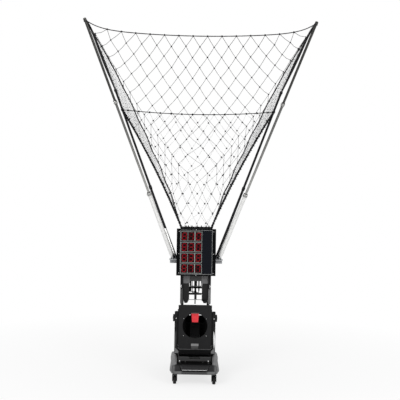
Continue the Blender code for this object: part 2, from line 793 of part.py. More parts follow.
def hopper(frame):
    """The square funnel of sheet that takes the balls from the net down to the channel, and the net's hooks."""
    bm = bmesh.new()
    bmesh.ops.create_cube(bm, size=2.0)
    caps = [face for face in bm.faces if abs(face.normal.z) > 0.5]
    bmesh.ops.delete(bm, geom=caps, context="FACES_ONLY")
    low, high = FRAME_TOP + GAP + SHEET / 2, HOPPER_TOP - SHEET / 2
    for v in bm.verts:
        half_x, half_y, z = (
            (HOPPER_TOP_X, HOPPER_TOP_Y, high) if v.co.z > 0 else (HOPPER_LOW_X, HOPPER_LOW_Y, low)
        )
        v.co = (math.copysign(half_x, v.co.x), math.copysign(half_y, v.co.y), z)
    bmesh.ops.recalc_face_normals(bm, faces=bm.faces[:])
    mesh = bpy.data.meshes.new("hopper")
    bm.to_mesh(mesh)
    bm.free()
    walls = place(mesh, "hopper", Matrix.Translation(AXIS), "dark_plate")
    shell = walls.modifiers.new("wall", "SOLIDIFY")
    shell.thickness = HOPPER_WALL
    shell.offset = 1.0

    def ring(name, z, half_x, half_y, width_x, width_y):
        return sheet(
            name,
            rectangle(-half_x - width_x, half_x + width_x, -half_y - width_y, half_y + width_y), SHEET,
            Matrix.Translation(AXIS + UP * z),
            holes=[rectangle(-half_x, half_x, -half_y, half_y)],
        )

    flange = ring("hopper_flange", low, HOPPER_LOW_X - 0.0005, HOPPER_LOW_Y - 0.0005, 0.034, 0.012)
    rim = ring("hopper_rim", high, HOPPER_TOP_X - 0.004, HOPPER_TOP_Y - 0.004, 0.009, 0.004)
    hooks = []
    front = AXIS_Y - HOPPER_TOP_Y
    for x in HOOK_X:
        corner = (x - 0.003, front - 0.0060, high - 0.001)
        hooks.append(box("net_hook", corner, (x + 0.003, front - 0.0033, high + 0.0085)))
        hooks.append(box("hook_foot", corner, (x + 0.003, front + 0.003, high + 0.001)))
    join(walls, flange, rim, *hooks)
    hang(walls, frame)


def scoreboard(frame):
    case = box(
        "scoreboard_case", (-BOARD_X, BOARD_FRONT, BOARD_LOW), (BOARD_X, BOARD_BACK, BOARD_HIGH),
        "black_plastic", rounded=0.003, segments=2,
    )
    wall = 0.004
    recess = box(
        "face_recess", (-FACE_X - GAP, BOARD_FRONT - 0.01, FACE_LOW - GAP),
        (FACE_X + GAP, BOARD_FRONT + wall, FACE_HIGH + GAP),
    )
    inside = box(
        "case_hollow",
        (wall - BOARD_X, BOARD_FRONT + 2 * wall, BOARD_LOW + wall),
        (BOARD_X - wall, BOARD_BACK - wall, BOARD_HIGH - wall),
    )
    cable_hole = rod("cable_hole", (0, BOARD_BACK - 0.01, 1.30), (0, BOARD_BACK + 0.01, 1.30), 0.012)
    cut(case, recess, inside, cable_hole)
    face = box(
        "scoreboard_face", (-FACE_X, BOARD_FRONT - 0.0025, FACE_LOW),
        (FACE_X, BOARD_FRONT + wall - GAP, FACE_HIGH), "face",
    )
    cells = [
        box(
            "digit_cell",
            (x - CELL_WIDTH / 2, BOARD_FRONT - 0.01, CELL_ROW_TOP - row * CELL_ROW_STEP - CELL_HEIGHT / 2),
            (x + CELL_WIDTH / 2, BOARD_FRONT - 0.001, CELL_ROW_TOP - row * CELL_ROW_STEP + CELL_HEIGHT / 2),
        )
        for row in range(4)
        for x in CELL_COLUMNS
    ]
    cut(face, *cells)
    hang(case, frame)
    hang(face, frame)


# Launch head


def head_chassis():
    """The folded floor and sides, with two shelves on each side for the launch rollers."""
    top = SHOULDER_Z - 0.013
    front = PLATE_Y + SHEET + 0.016
    floor = box("head_chassis", (-HEAD_X, front, HEAD_LOW), (HEAD_X, HEAD_BACK, HEAD_LOW + SHEET), "dark_metal")
    walls = [
        box("chassis_wall", (side * (HEAD_X - SHEET), front, HEAD_LOW), (side * HEAD_X, HEAD_BACK, top))
        for side in (-1, 1)
    ]
    shelves = [
        box(
            "roller_shelf", (side * (ROLLER_X - 0.045), ROLLER_Y - 0.045, z),
            (side * (HEAD_X - 0.001), ROLLER_Y + 0.050, z + SHELF),
        )
        for side in (-1, 1)
        for z in (ROLLER_LOW - GAP - SHELF, ROLLER_HIGH + GAP)
    ]
    join(floor, *walls, *shelves)
    bores = [
        rod(
            "shaft_bore", (side * ROLLER_X, ROLLER_Y, ROLLER_LOW - 0.0345),
            (side * ROLLER_X, ROLLER_Y, ROLLER_HIGH + 0.0255), AXLE_RADIUS + GAP,
        )
        for side in (-1, 1)
    ]
    cut(floor, *bores)
    return floor


def head_plates():
    """Front plate with its outlet and bent flange, hood with the ball inlet, and the vented back."""
    middle = PLATE_Y + SHEET / 2
    chamfer = 0.012
    outline = [
        (chamfer - PLATE_X, PLATE_LOW), (PLATE_X - chamfer, PLATE_LOW), (PLATE_X, PLATE_LOW + chamfer),
        (PLATE_X, PLATE_HIGH), (-PLATE_X, PLATE_HIGH), (-PLATE_X, PLATE_LOW + chamfer),
    ]
    plate = sheet(
        "head_front_plate", outline, SHEET, front_view(middle), "dark_plate",
        holes=[circle(0, OUTLET_Z, OUTLET_RADIUS, 48)],
    )
    lean = math.radians(32)
    reach = (PLATE_LOW - HEAD_LOW - SHEET - GAP - 0.0008) / math.cos(lean)
    down = Vector((0, math.sin(lean), -math.cos(lean)))
    flange_outline = [
        (chamfer - PLATE_X, -0.002), (PLATE_X - chamfer, -0.002), (PLATE_X, chamfer), (PLATE_X, reach),
        (-PLATE_X, reach), (-PLATE_X, chamfer),
    ]
    flange = sheet("bent_flange", flange_outline, SHEET, facing((1, 0, 0), down, (0, middle, PLATE_LOW)))
    join(plate, flange)
    front = PLATE_Y + SHEET + GAP
    low = SHOULDER_Z - 0.008
    hood = box("head_hood", (-PLATE_X, front, low), (PLATE_X, HEAD_BACK, PLATE_HIGH - SHEET), "dark_plate")
    inside = box(
        "hood_hollow", (SHEET - PLATE_X, front - 0.01, low - 0.01),
        (PLATE_X - SHEET, HEAD_BACK - SHEET, PLATE_HIGH - 2 * SHEET),
    )
    inlet = rod(
        "ball_inlet", AXIS + UP * (PLATE_HIGH - 0.038), AXIS + UP * (PLATE_HIGH + 0.022), BALL_RADIUS + 0.010,
        sides=40,
    )
    cut(hood, inside, inlet)
    back = sheet(
        "head_back",
        rectangle(-HEAD_X, HEAD_X, HEAD_LOW + 0.004, low - GAP), SHEET,
        front_view(HEAD_BACK + GAP + SHEET / 2), "dark_plate",
        holes=[
            round_corners(rectangle(-0.110, 0.110, z, z + 0.008), 0.0035, 2)
            for z in (0.560, 0.585, 0.610, 0.635, 0.660)
        ],
    )
    return plate, hood, back


def side_cover(side):
    """A moulded skin round the chassis's side that turns in to the front plate, open inwards and behind."""
    wall = 0.003
    low = 0.2900
    cover = box(
        f"side_cover_{side_name(side)}",
        (side * (PLATE_X + 2 * GAP), PLATE_Y + 0.006, low), (side * COVER_OUT, HEAD_BACK, SHOULDER_Z),
        "black_plastic", rounded=0.012, segments=3,
    )
    hollow = box(
        "cover_hollow",
        (side * (PLATE_X - 0.05), PLATE_Y + 0.006 + wall, low - 0.02),
        (side * (COVER_OUT - wall), HEAD_BACK + 0.02, SHOULDER_Z - wall),
        rounded=0.009, segments=3,
    )
    cut(cover, hollow)
    return cover


def ramp_height(y):
    """The ramp is level under the outlet and curves up behind the bend."""
    return RAMP_LEVEL + RAMP_RISE * max(0.0, y - RAMP_BEND_Y) ** 2


def ball_ramp():
    """The curved tray with two raised edges on which a ball rolls forward to the rollers."""
    steps = 9
    front = PLATE_Y + SHEET + GAP
    stations = [front] + [RAMP_BEND_Y + (RAMP_BACK_Y - RAMP_BEND_Y) * i / steps for i in range(steps + 1)]
    top = [(y, ramp_height(y)) for y in stations]

    def strip(rise, depth):
        return [(y, z + rise) for y, z in top] + [(y, z - depth) for y, z in reversed(top)]

    tray = sheet("ball_ramp", strip(0.0, SHEET), 2 * RAMP_X, side_view(0), "dark_metal")
    edges = [
        sheet("ramp_edge", strip(0.012, SHEET), SHEET, side_view(side * (RAMP_X - SHEET / 2 + 0.0002)))
        for side in (-1, 1)
    ]
    reach = HEAD_X - SHEET - GAP
    bars = []
    for y in (0.1520, 0.4700):
        z = ramp_height(y) - 0.006
        bars.append(rod("ramp_bar", (-reach, y, z), (reach, y, z), 0.005, sides=12))
    return join(tray, *edges, *bars)


def rollers(head):
    for side in (-1, 1):
        name = f"launch_roller_{side_name(side)}"
        x = side * ROLLER_X
        middle = (ROLLER_LOW + ROLLER_HIGH) / 2
        top = ROLLER_HIGH + SHELF + 0.014
        low = ROLLER_LOW - SHELF - 0.004
        profile = [
            (0.0, top), (AXLE_RADIUS, top), (AXLE_RADIUS, ROLLER_HIGH), (ROLLER_RADIUS - 0.004, ROLLER_HIGH),
            (ROLLER_RADIUS, ROLLER_HIGH - 0.006), (ROLLER_RADIUS - 0.003, middle),
            (ROLLER_RADIUS, ROLLER_LOW + 0.006), (ROLLER_RADIUS - 0.004, ROLLER_LOW), (AXLE_RADIUS, ROLLER_LOW),
            (AXLE_RADIUS, low), (0.0, low),
        ]
        roller = turned(name, profile, (x, ROLLER_Y, 0), UP, "rubber", 24)
        on_joint(name + "_spin", (x, ROLLER_Y, middle), roller, parent=head)
        foot = ROLLER_HIGH + SHELF + 2 * GAP
        bore = AXLE_RADIUS + GAP
        can = [(0.0, foot + 0.047), (0.041, foot + 0.047), (0.045, foot + 0.042), (0.045, foot)]
        socket = [(bore, foot), (bore, foot + 0.018), (0.0, foot + 0.018)]
        motor = turned(
            f"roller_motor_{side_name(side)}", can + socket, (x, ROLLER_Y, 0), UP, "dark_metal", 20
        )
        hang(motor, head)


def outlet_flap(head):
    """The red flap over the outlet, and the hinge tab with the pin that it hangs on."""
    half, inner, pin_radius = 0.049, 0.0455, 0.0020

    def across_pin(name, reach, radius, sides=12):
        return rod(name, (-reach, FLAP_Y, FLAP_Z), (reach, FLAP_Y, FLAP_Z), radius, sides=sides)

    tab = box(
        "flap_hinge", (-half, 0.1235, FLAP_Z - 0.002), (half, PLATE_Y - GAP, FLAP_Z + 0.021), "grey_metal"
    )
    bevel(tab, 0.0012, 2)
    ears = [
        box(
            "hinge_ear", (side * inner, FLAP_Y - 0.006, FLAP_Z - 0.006), (side * half, 0.1265, FLAP_Z + 0.007)
        )
        for side in (-1, 1)
    ]
    cut(tab, across_pin("knuckle_space", inner, 0.0055, 16))
    join(tab, *ears, across_pin("hinge_pin", half, pin_radius))
    low = FLAP_Z - FLAP_LENGTH
    outline = [(-0.0375, low), (0.0375, low), (0.0448, FLAP_Z), (-0.0448, FLAP_Z)]
    flap = sheet(
        "outlet_flap", round_corners(outline, 0.003, 2), 0.003, front_view(FLAP_Y - 0.0012), "red"
    )
    knuckle = across_pin("flap_knuckle", 0.0450, 0.0048, 16)
    bore = across_pin("knuckle_bore", 0.06, pin_radius + GAP)
    join(flap, knuckle)
    cut(flap, bore)
    hang(tab, head)
    on_joint("outlet_flap_swing", (0, FLAP_Y, FLAP_Z), flap, parent=head)


def knob_outline(radius, lobes=10, depth=0.06, per_lobe=4):
    """A circle with shallow hollows for the fingers."""
    points = []
    count = lobes * per_lobe
    for i in range(count):
        angle = math.tau * i / count
        reach = radius * (1 - depth / 2 + depth / 2 * math.cos(angle * lobes))
        points.append((reach * math.cos(angle), reach * math.sin(angle)))
    return points


def side_knobs(head):
    for side in (-1, 1):
        name = f"side_knob_{side_name(side)}"
        x = side * (COVER_OUT + GAP)
        thick = 0.019
        matrix = facing((0, 1, 0), (0, 0, 1), (x + side * thick / 2, KNOB_Y, KNOB_Z))
        knob = sheet(name, knob_outline(KNOB_RADIUS), thick, matrix, "black_plastic")
        boss = rod(
            "knob_boss", (x + side * 0.010, KNOB_Y, KNOB_Z), (x + side * (thick + 0.003), KNOB_Y, KNOB_Z),
            0.014, sides=20,
        )
        join(knob, boss)
        on_joint(name + "_turn", (x, KNOB_Y, KNOB_Z), knob, parent=head)


def front_lock():
    """The small plate and tab under the outlet."""
    lock = box("front_lock", (-0.041, 0.1245, 0.371), (0.041, PLATE_Y - GAP, 0.400), "grey_metal")
    bevel(lock, 0.0015, 2)
    join(lock, box("lock_tab", (-0.038, 0.1265, 0.345), (0.038, PLATE_Y - GAP, 0.373)))
    return lock


def launch_head(frame):
    chassis_sheet = head_chassis()
    pieces = [chassis_sheet, *head_plates(), side_cover(-1), side_cover(1), ball_ramp(), front_lock()]
    head = on_joint("head_yaw", AXIS + UP * HEAD_LOW, *pieces, parent=frame)
    rollers(head)
    outlet_flap(head)
    side_knobs(head)


# Pole brackets, poles and net


def lean_axes(foot, tip, side):
    """For a pole: the way it points, the level way it leans, and the level axis that it folds about."""
    foot, tip = sided(side, foot), sided(side, tip)
    along = (tip - foot).normalized()
    level = Vector((along.x, along.y, 0)).normalized()
    return along, level, level.cross(UP)


def bracket_arm(frame, side):
    """A square arm with an end plate on the side frame, and on top a plate with ears for the poles' feet."""
    inner = MAST_X + TUBE + GAP
    arm = box(
        f"net_arm_{side_name(side)}", (side * inner, ARM_Y, ARM_TOP - ARM_SIDE),
        (side * ARM_END, ARM_Y + ARM_SIDE, ARM_TOP), "grey_metal",
    )
    end_plate = box(
        "arm_plate", (side * inner, ARM_Y - 0.045, ARM_TOP - ARM_SIDE - 0.002),
        (side * (inner + 0.005), ARM_Y + 0.105, FRAME_TOP - 0.001),
    )
    top = box(
        "bracket_plate", (side * (inner + 0.0277), ARM_Y - 0.054, ARM_TOP - 0.002),
        (side * (ARM_END + 0.006), ARM_Y + 0.095, BRACKET_TOP),
    )
    joined = [end_plate, top]
    bores = []
    for foot, tip in ((TALL_FOOT, TALL_TIP), (SHORT_FOOT, SHORT_TIP)):
        along, level, fold = lean_axes(foot, tip, side)
        pivot = sided(side, foot)
        half, rise, drop = 0.014, 0.013, PIVOT_Z - BRACKET_TOP + 0.002
        outline = [(half, -drop), *[
            (half * math.cos(math.pi * i / 6), rise * math.sin(math.pi * i / 6)) for i in range(7)
        ], (-half, -drop)]
        for way in (-1, 1):
            joined.append(sheet(
                "ear", outline, EAR, facing(level, UP, pivot + fold * way * (LUG_HALF + GAP + EAR / 2))
            ))
        bores.append(rod("pivot_bore", pivot - fold * 0.025, pivot + fold * 0.025, PIN_RADIUS + GAP))
    join(arm, *joined)
    cut(arm, *bores)
    hang(arm, frame)


def clamp_knob(frame, side, label, foot, tip):
    """The pin through a pole's foot, with the oval knob on its end that clamps it."""
    _, _, fold = lean_axes(foot, tip, side)
    pivot = sided(side, foot)
    inward = -fold if fold.x * side > 0 else fold
    start = LUG_HALF + EAR + 3 * GAP
    profile = [
        (0.0, start + 0.016), (0.009, start + 0.016), (0.015, start + 0.011), (0.016, start + 0.005),
        (0.013, start), (PIN_RADIUS, start), (PIN_RADIUS, -start - 0.001), (0.0, -start - 0.001),
    ]
    name = f"clamp_knob_{label}_{side_name(side)}"
    knob = turned(name, profile, pivot, inward, "black_plastic", 16)
    on_joint(name + "_turn", pivot, knob, parent=frame)


def lower_section(name, foot, along, fold, level_radius, bore, length, material):
    """The lowest tube with the lug that it folds on, and its collar at the top."""
    start, floor = 0.035, 0.055
    collar = level_radius + COLLAR
    tube = turned(
        name,
        [
            (0.0, floor), (bore, floor), (bore, length + 0.012), (collar - 0.001, length + 0.012),
            (collar, length + 0.010), (collar, length - 0.028), (level_radius, length - 0.030),
            (level_radius, start), (0.0, start),
        ],
        foot, along, material, POLE_SIDES,
    )
    sideways = fold.cross(along)
    outline = [
        (0.013 * math.cos(math.pi * i / 6), -0.013 * math.sin(math.pi * i / 6)) for i in range(7)
    ]
    outline += [(-0.013, start + 0.008), (0.013, start + 0.008)]
    lug = sheet("lug", outline, 2 * LUG_HALF, facing(sideways, along, foot))
    join(tube, lug)
    cut(tube, rod("lug_bore", foot - fold * 0.02, foot + fold * 0.02, PIN_RADIUS + GAP))
    return tube


def middle_section(name, foot, along, radius, bore, start, length, material):
    collar = radius + COLLAR
    return turned(
        name,
        [
            (bore, length + 0.012), (collar - 0.001, length + 0.012), (collar, length + 0.010),
            (collar, length - 0.028), (radius, length - 0.030), (radius, start), (bore, start),
        ],
        foot, along, material, POLE_SIDES, closed=True,
    )


def upper_section(name, foot, along, radius, start, length, material, ring=None):
    """The top tube with its domed cap, and on a short pole the ring that the rear rope is tied to."""
    bore = radius - TUBE_WALL
    profile = [
        (0.0, length - 0.030), (bore, length - 0.030), (bore, start), (radius, start),
    ]
    if ring:
        profile += [
            (radius, ring - 0.012), (TIP_RADIUS, ring - 0.010), (TIP_RADIUS, ring + 0.010),
            (radius, ring + 0.012),
        ]
    profile += [
        (radius, length - 0.026), (TIP_RADIUS, length - 0.024), (TIP_RADIUS, length - 0.004),
        (TIP_RADIUS - 0.005, length), (0.0, length),
    ]
    return turned(name, list(reversed(profile)), foot, along, material, POLE_SIDES)


def poles(frame):
    for side in (-1, 1):
        hand = side_name(side)
        for label, foot, tip in (("front", TALL_FOOT, TALL_TIP), ("rear", SHORT_FOOT, SHORT_TIP)):
            clamp_knob(frame, side, label, foot, tip)
        along, _, fold = lean_axes(TALL_FOOT, TALL_TIP, side)
        foot = sided(side, TALL_FOOT)
        length = (TALL_TIP - TALL_FOOT).length
        radii = TALL_RADII
        lower = lower_section(
            f"front_pole_lower_{hand}", foot, along, fold, radii[0], radii[1] + GAP, TALL_SPLITS[0], "silver"
        )
        middle = middle_section(
            f"front_pole_middle_{hand}", foot, along, radii[1], radii[2] + GAP, TALL_SPLITS[0] - OVERLAP,
            TALL_SPLITS[1], "silver",
        )
        upper = upper_section(
            f"front_pole_upper_{hand}", foot, along, radii[2], TALL_SPLITS[1] - OVERLAP, length, "silver"
        )
        fold_empty = on_joint(f"front_pole_fold_{hand}", foot, lower, parent=frame)
        low_end, high_end = (foot + along * split for split in TALL_SPLITS)
        slide = on_joint(f"front_pole_middle_slide_{hand}", low_end, middle, parent=fold_empty)
        on_joint(f"front_pole_upper_slide_{hand}", high_end, upper, parent=slide)
        along, _, fold = lean_axes(SHORT_FOOT, SHORT_TIP, side)
        foot = sided(side, SHORT_FOOT)
        length = (SHORT_TIP - SHORT_FOOT).length
        radii = SHORT_RADII
        lower = lower_section(
            f"rear_pole_lower_{hand}", foot, along, fold, radii[0], radii[1] + GAP, SHORT_SPLIT, "dark_metal"
        )
        upper = upper_section(
            f"rear_pole_upper_{hand}", foot, along, radii[1], SHORT_SPLIT - OVERLAP, length, "dark_metal",
            ring=length * REAR_ROPE_SHARE,
        )
        fold_empty = on_joint(f"rear_pole_fold_{hand}", foot, lower, parent=frame)
        on_joint(f"rear_pole_upper_slide_{hand}", foot + along * SHORT_SPLIT, upper, parent=fold_empty)


def seam_pull(t):
    return SEAM_PULL * 4 * t * (1 - t)


def front_seam(t):
    """The right front corner of the net: t is 0 at the hopper and 1 at the tall pole's tip."""
    low = Vector((NET_LOW_X, NET_LOW_FRONT, NET_LOW))
    tip = TALL_TIP - (TALL_TIP - TALL_FOOT).normalized() * 0.014
    return low.lerp(tip, t) + Vector((-seam_pull(t), seam_pull(t), 0))


def rear_rope_end():
    return SHORT_FOOT.lerp(SHORT_TIP, REAR_ROPE_SHARE)


def rear_seam(t):
    """The right rear corner of the net: t is 1 where the rear rope is tied to the short pole."""
    low = Vector((NET_LOW_X, NET_LOW_BACK, NET_LOW))
    return low.lerp(rear_rope_end(), t) + Vector((-0.8 * seam_pull(t), -0.8 * seam_pull(t), 0))


def clearance(t, last):
    """How far a panel's edge keeps from its corner: a cord's width along the seam, more beside the tip."""
    share = max(0.0, (t - last) / (1 - last))
    return SEAM_GAP / 2 + (TIP_OFFSET - SEAM_GAP / 2) * share


def net_panel(name, columns, rows, surface):
    """A diamond mesh on a surface over (0 to 1, 0 to 1), as one body of strands."""
    bm = bmesh.new()
    bmesh.ops.create_grid(bm, x_segments=columns, y_segments=rows, size=0.5)
    inner = [edge for edge in bm.edges if len(edge.link_faces) == 2]
    bmesh.ops.poke(bm, faces=bm.faces[:])
    bmesh.ops.dissolve_edges(bm, edges=inner, use_verts=False)
    for v in bm.verts:
        v.co = surface(v.co.x + 0.5, v.co.y + 0.5)
    obj = place(mesh_of(bm, name), name, Matrix.Identity(4), "cord")
    wire = obj.modifiers.new("strands", "WIREFRAME")
    wire.thickness = STRAND
    wire.offset = 0.0
    wire.use_boundary = True
    wire.use_even_offset = True
    wire.use_relative_offset = False
    return obj


def sag(s, t, depth):
    return UP * (-depth * 4 * s * (1 - s) * t ** 2)


def across(seam, offset, s):
    """A point between the left and the right copy of a seam point, s from 0 to 1."""
    right = seam + Vector((-offset, 0, 0))
    left = Vector((-right.x, right.y, right.z))
    return left.lerp(right, s)


def net(frame):
    last = (NET_ROWS - 1) / NET_ROWS

    def front(s, t):
        return across(front_seam(t), clearance(t, last), s) + sag(s, t, FRONT_SAG)

    def rear(s, t):
        return across(rear_seam(t), clearance(t, (NET_ROWS - 2) / (NET_ROWS - 1)), s) + sag(s, t, REAR_SAG)

    def side_edge(t):
        """The back edge of a side panel: up the rear seam, then along the short pole to its tip."""
        below = SHORT_FOOT.lerp(SHORT_TIP, 1 - 0.014 / (SHORT_TIP - SHORT_FOOT).length)
        if t <= last:
            point = rear_seam(t / last)
            share = max(0.0, (t - last * (NET_ROWS - 2) / (NET_ROWS - 1)) / (last / (NET_ROWS - 1)))
            back = SEAM_GAP / 2 + (TIP_OFFSET - SEAM_GAP / 2) * share
        else:
            point = rear_rope_end().lerp(below, (t - last) / (1 - last))
            back = TIP_OFFSET
        return point + Vector((0, -back, 0))

    pieces = [
        net_panel("net_front", NET_FRONT_COLUMNS, NET_ROWS, front),
        net_panel("net_rear", NET_REAR_COLUMNS, NET_ROWS - 1, rear),
    ]
    for side in (-1, 1):

        def flank(s, t):
            near = front_seam(t) + Vector((0, clearance(t, last), 0))
            point = near.lerp(side_edge(t), s) + sag(s, t, SIDE_SAG)
            return sided(side, point)

        pieces.append(net_panel(f"net_{side_name(side)}", NET_SIDE_COLUMNS, NET_ROWS, flank))
    for piece in pieces:
        hang(piece, frame)


def main():
    frame = chassis()
    rear_wheels(frame)
    casters(frame)
    base_cover(frame)
    front_cap(frame)
    turntable(frame)
    power_inlet(frame)
    side_frames(frame)
    guards(frame)
    ball_gate(frame)
    hopper(frame)
    scoreboard(frame)
    launch_head(frame)
    for side in (-1, 1):
        bracket_arm(frame, side)
    poles(frame)
    net(frame)


main()
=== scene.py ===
"""Looks of a basketball shooting machine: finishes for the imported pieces, and round them the knotted net
with its ropes, the score digits, the screws and the trims. Metres, +Z up, and the front faces -Y."""

import math

import bmesh
import bpy
from mathutils import Matrix, Vector

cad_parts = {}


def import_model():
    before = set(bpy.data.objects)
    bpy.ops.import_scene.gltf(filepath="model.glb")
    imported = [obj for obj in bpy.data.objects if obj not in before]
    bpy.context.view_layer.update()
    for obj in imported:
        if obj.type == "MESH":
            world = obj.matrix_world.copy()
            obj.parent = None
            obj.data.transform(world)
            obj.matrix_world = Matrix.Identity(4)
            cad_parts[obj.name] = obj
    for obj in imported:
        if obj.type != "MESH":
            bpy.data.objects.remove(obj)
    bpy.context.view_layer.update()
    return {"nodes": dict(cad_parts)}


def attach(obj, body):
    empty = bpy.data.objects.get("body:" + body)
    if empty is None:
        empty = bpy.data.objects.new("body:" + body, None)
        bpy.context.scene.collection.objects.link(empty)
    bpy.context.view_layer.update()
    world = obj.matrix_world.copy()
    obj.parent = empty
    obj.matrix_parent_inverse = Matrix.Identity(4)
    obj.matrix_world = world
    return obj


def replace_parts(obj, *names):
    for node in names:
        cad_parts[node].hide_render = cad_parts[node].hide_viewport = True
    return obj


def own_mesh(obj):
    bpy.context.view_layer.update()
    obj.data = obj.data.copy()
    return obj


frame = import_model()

HANDS = ((-1, "left"), (1, "right"))
UP, AHEAD = Vector((0.0, 0.0, 1.0)), Vector((0.0, -1.0, 0.0))
FRONT = (Vector((1, 0, 0)), UP, AHEAD)  # right, up and out of a face that looks ahead

# Camera
EYE = Vector((-0.04, -6.21, 1.80))
LENS = 52.38
SENSOR = 36.0
ROLL = 0.0160
SHIFT = (0.01725, 0.0376)

# Poles and net, as the frame has them
PIVOT_Z = 1.335
TALL_FOOT = Vector((0.260, 0.220, PIVOT_Z))
TALL_TIP = Vector((1.035, -1.035, 3.537))
SHORT_FOOT = Vector((0.231, 0.300, PIVOT_Z))
SHORT_TIP = Vector((1.035, 1.034, 3.349))
SHORT_LENGTH = 2.289
TALL_STOWED_Z = 2.590
SHORT_STOWED_Z = 2.914
ROPE_STOWED_Z = 2.607
ROPE_SHARE = 0.866  # how far up the short poles the rear rope is tied
NET_LOW = 1.6633
NET_LOW_X = 0.176
NET_LOW_FRONT = 0.2205
NET_LOW_BACK = 0.5095
SEAM_END = 0.014
SEAM_PULL = 0.075
SEAM_DEPTH = 0.045
SEAM_WAVE = 0.012
SEAM_WAVES = 6.5
FRONT_SAG = 0.132
QUICK_SAG = 0.56  # the share of the front rope's sag that it has close beside the tips
REAR_SAG = 0.045
SIDE_SAG = 0.010
SIDE_PULL = 0.026

# Cords
FRONT_TWINE = (0.0009, 0.0020)  # radius at the hopper and at the rim
REAR_TWINE = (0.0006, 0.0009)
SIDE_TWINE = (0.0012, 0.0007)
LASHING = 0.0020
KNOT = 0.0075
REAR_KNOT = 0.0105
SIDE_KNOT = 0.0056
FRONT_ROPE = 0.0046
REAR_ROPE = 0.0054
SIDE_ROPE = 0.0110
SIDE_SWELL = 0.5  # how much thicker the side ropes are in their middles
HOPPER_ROPE = 0.0034
FRONT_SEAM = 0.0062
REAR_SEAM = 0.0125
LAID = 2.1547  # a rope's radius over that of each of its three strands
ROPE_LAY = 7  # a rope's length for one turn of its strands, in radii
SEAM_TURN = 0.040  # the spacing of the turns round a seam
TOP_KNOT = 1.35  # how much larger the knots on a rope are
STRAND_SAG = 0.003
SEAM_STEPS = 24
SQUASH = 0.8  # a knot's height over its width
LEAN = 0.68  # how far the edges of a panel's V are pulled outwards, in half meshes
LEAN_REACH = 7  # how far in from its edges that is felt, in half meshes
JITTER = (0.0035, 0.0016)  # how far the knots stray, across in metres and up as a share

# Pole sections: foot, tip, slot, the tube's thickness as a share of its solid's at the foot and from
# SLIM_FULL up, colour, roughness, metallic, and the fade of the upper end, painted shade that darkens it:
# lowest z, highest z, share of the colour left
TALL, SHORT = (TALL_FOOT, TALL_TIP, "silver_tube"), (SHORT_FOOT, SHORT_TIP, "dark_tube")
SECTIONS = {
    "front_pole_lower": (*TALL, (0.84, 0.84), (0.80, 0.80, 0.79), 0.34, 0.45, None),
    # painted shade: the middle section's upper end darkens from z 2.00 to 2.60, down to 0.36 of its colour
    "front_pole_middle": (*TALL, (0.62, 0.62), (0.42, 0.42, 0.405), 0.30, 1.0, (2.00, 2.60, 0.36)),
    "front_pole_upper": (*TALL, (0.75, 0.75), (0.065, 0.065, 0.062), 0.32, 1.0, None),
    "rear_pole_lower": (*SHORT, (0.60, 0.84), (0.010, 0.010, 0.011), 0.42, 0.85, None),
    "rear_pole_upper": (*SHORT, (1.0, 1.0), (0.010, 0.010, 0.011), 0.42, 0.85, None),
}
SLIM_FULL = 0.80
LUG_TOP, LUG_BLEND = 0.045, 0.012  # where the tubes start to be drawn in, above the pivots
BARE_FOOT = (1.360, 1.645)  # the top of the left short pole's black boot, and of the bare sleeve over it
BARE, BOOT = (0.62, 0.62, 0.61), (0.006, 0.006, 0.006)

# Head and base, as the frame has them
AXIS_Y = 0.365
PLATE_LOW = 0.336
PLATE_X = 0.182
CHAMFER = 0.012
CASTER_X, CASTER_Y, CASTER_TRAIL = 0.209, -0.030, 0.025
TIE_X = (-0.120, -0.092, 0.004, 0.104, 0.136, -0.168, 0.168, -0.052, 0.052)  # on the hopper's front rim

# Scoreboard
FACE_FRONT = 0.1315
CELL_FLOOR = 0.1330
FACE_X = 0.172
FACE_LOW = 1.157
FACE_HIGH = 1.633
CELL_COLUMNS = (-0.130, -0.0545, 0.0235)
CELL_ROW_TOP = 1.567
CELL_ROW_STEP = 0.1167
CELL_SIZE = (0.070, 0.097)
READINGS = ("810", "830", "838", "877")


# Camera, stage and light


def placed(name, data):
    made = bpy.data.objects.new(name, data)
    bpy.context.scene.collection.objects.link(made)
    return made


def camera():
    data = bpy.data.cameras.new("photo_view")
    data.sensor_width = SENSOR
    data.lens = LENS
    data.shift_x, data.shift_y = SHIFT
    right = Vector((math.cos(ROLL), 0.0, math.sin(ROLL)))
    up = Vector((-math.sin(ROLL), 0.0, math.cos(ROLL)))
    cam = placed("photo_view", data)
    cam.matrix_world = Matrix.Translation(EYE) @ Matrix((right, up, AHEAD)).transposed().to_4x4()
    bpy.context.scene.camera = cam


def softbox(name, spot, target, size, power):
    data = bpy.data.lights.new(name, "AREA")
    data.shape = "RECTANGLE"
    data.size, data.size_y = size
    data.energy = power
    spot = Vector(spot)
    turn = (Vector(target) - spot).to_track_quat("-Z", "Y").to_matrix().to_4x4()
    placed(name, data).matrix_world = Matrix.Translation(spot) @ turn


class Graph:
    """The shader nodes of a material or a world."""

    def __init__(self, owner):
        owner.use_nodes = True
        self.nodes, self.links = owner.node_tree.nodes, owner.node_tree.links

    def node(self, kind, *firsts, **values):
        """A new node. The firsts go to its first inputs, and values to inputs by name, with _ for a space."""
        made = self.nodes.new("ShaderNode" + kind)
        for socket, value in zip(made.inputs, firsts):
            self.feed(socket, value)
        for key, value in values.items():
            self.feed(made.inputs[key.replace("_", " ")], value)
        return made

    def feed(self, socket, value):
        """Links an output to this input, or sets the input to a constant."""
        if isinstance(value, bpy.types.NodeSocket):
            self.links.new(value, socket)
        else:
            socket.default_value = value

    def axis(self, source, letter):
        return self.node("SeparateXYZ", source).outputs[letter]

    def span(self, source, low, high, start=0.0, end=1.0):
        node = self.node("MapRange", Value=source, From_Min=low, From_Max=high, To_Min=start, To_Max=end)
        return node.outputs["Result"]

    def math(self, operation, *values, kind="Math", output=0):
        node = self.node(kind, *values)
        node.operation = operation
        return node.outputs[output]

    def layered(self, factor, below, above):
        """A shader over another by a factor."""
        return self.node("MixShader", factor, below, above).outputs[0]


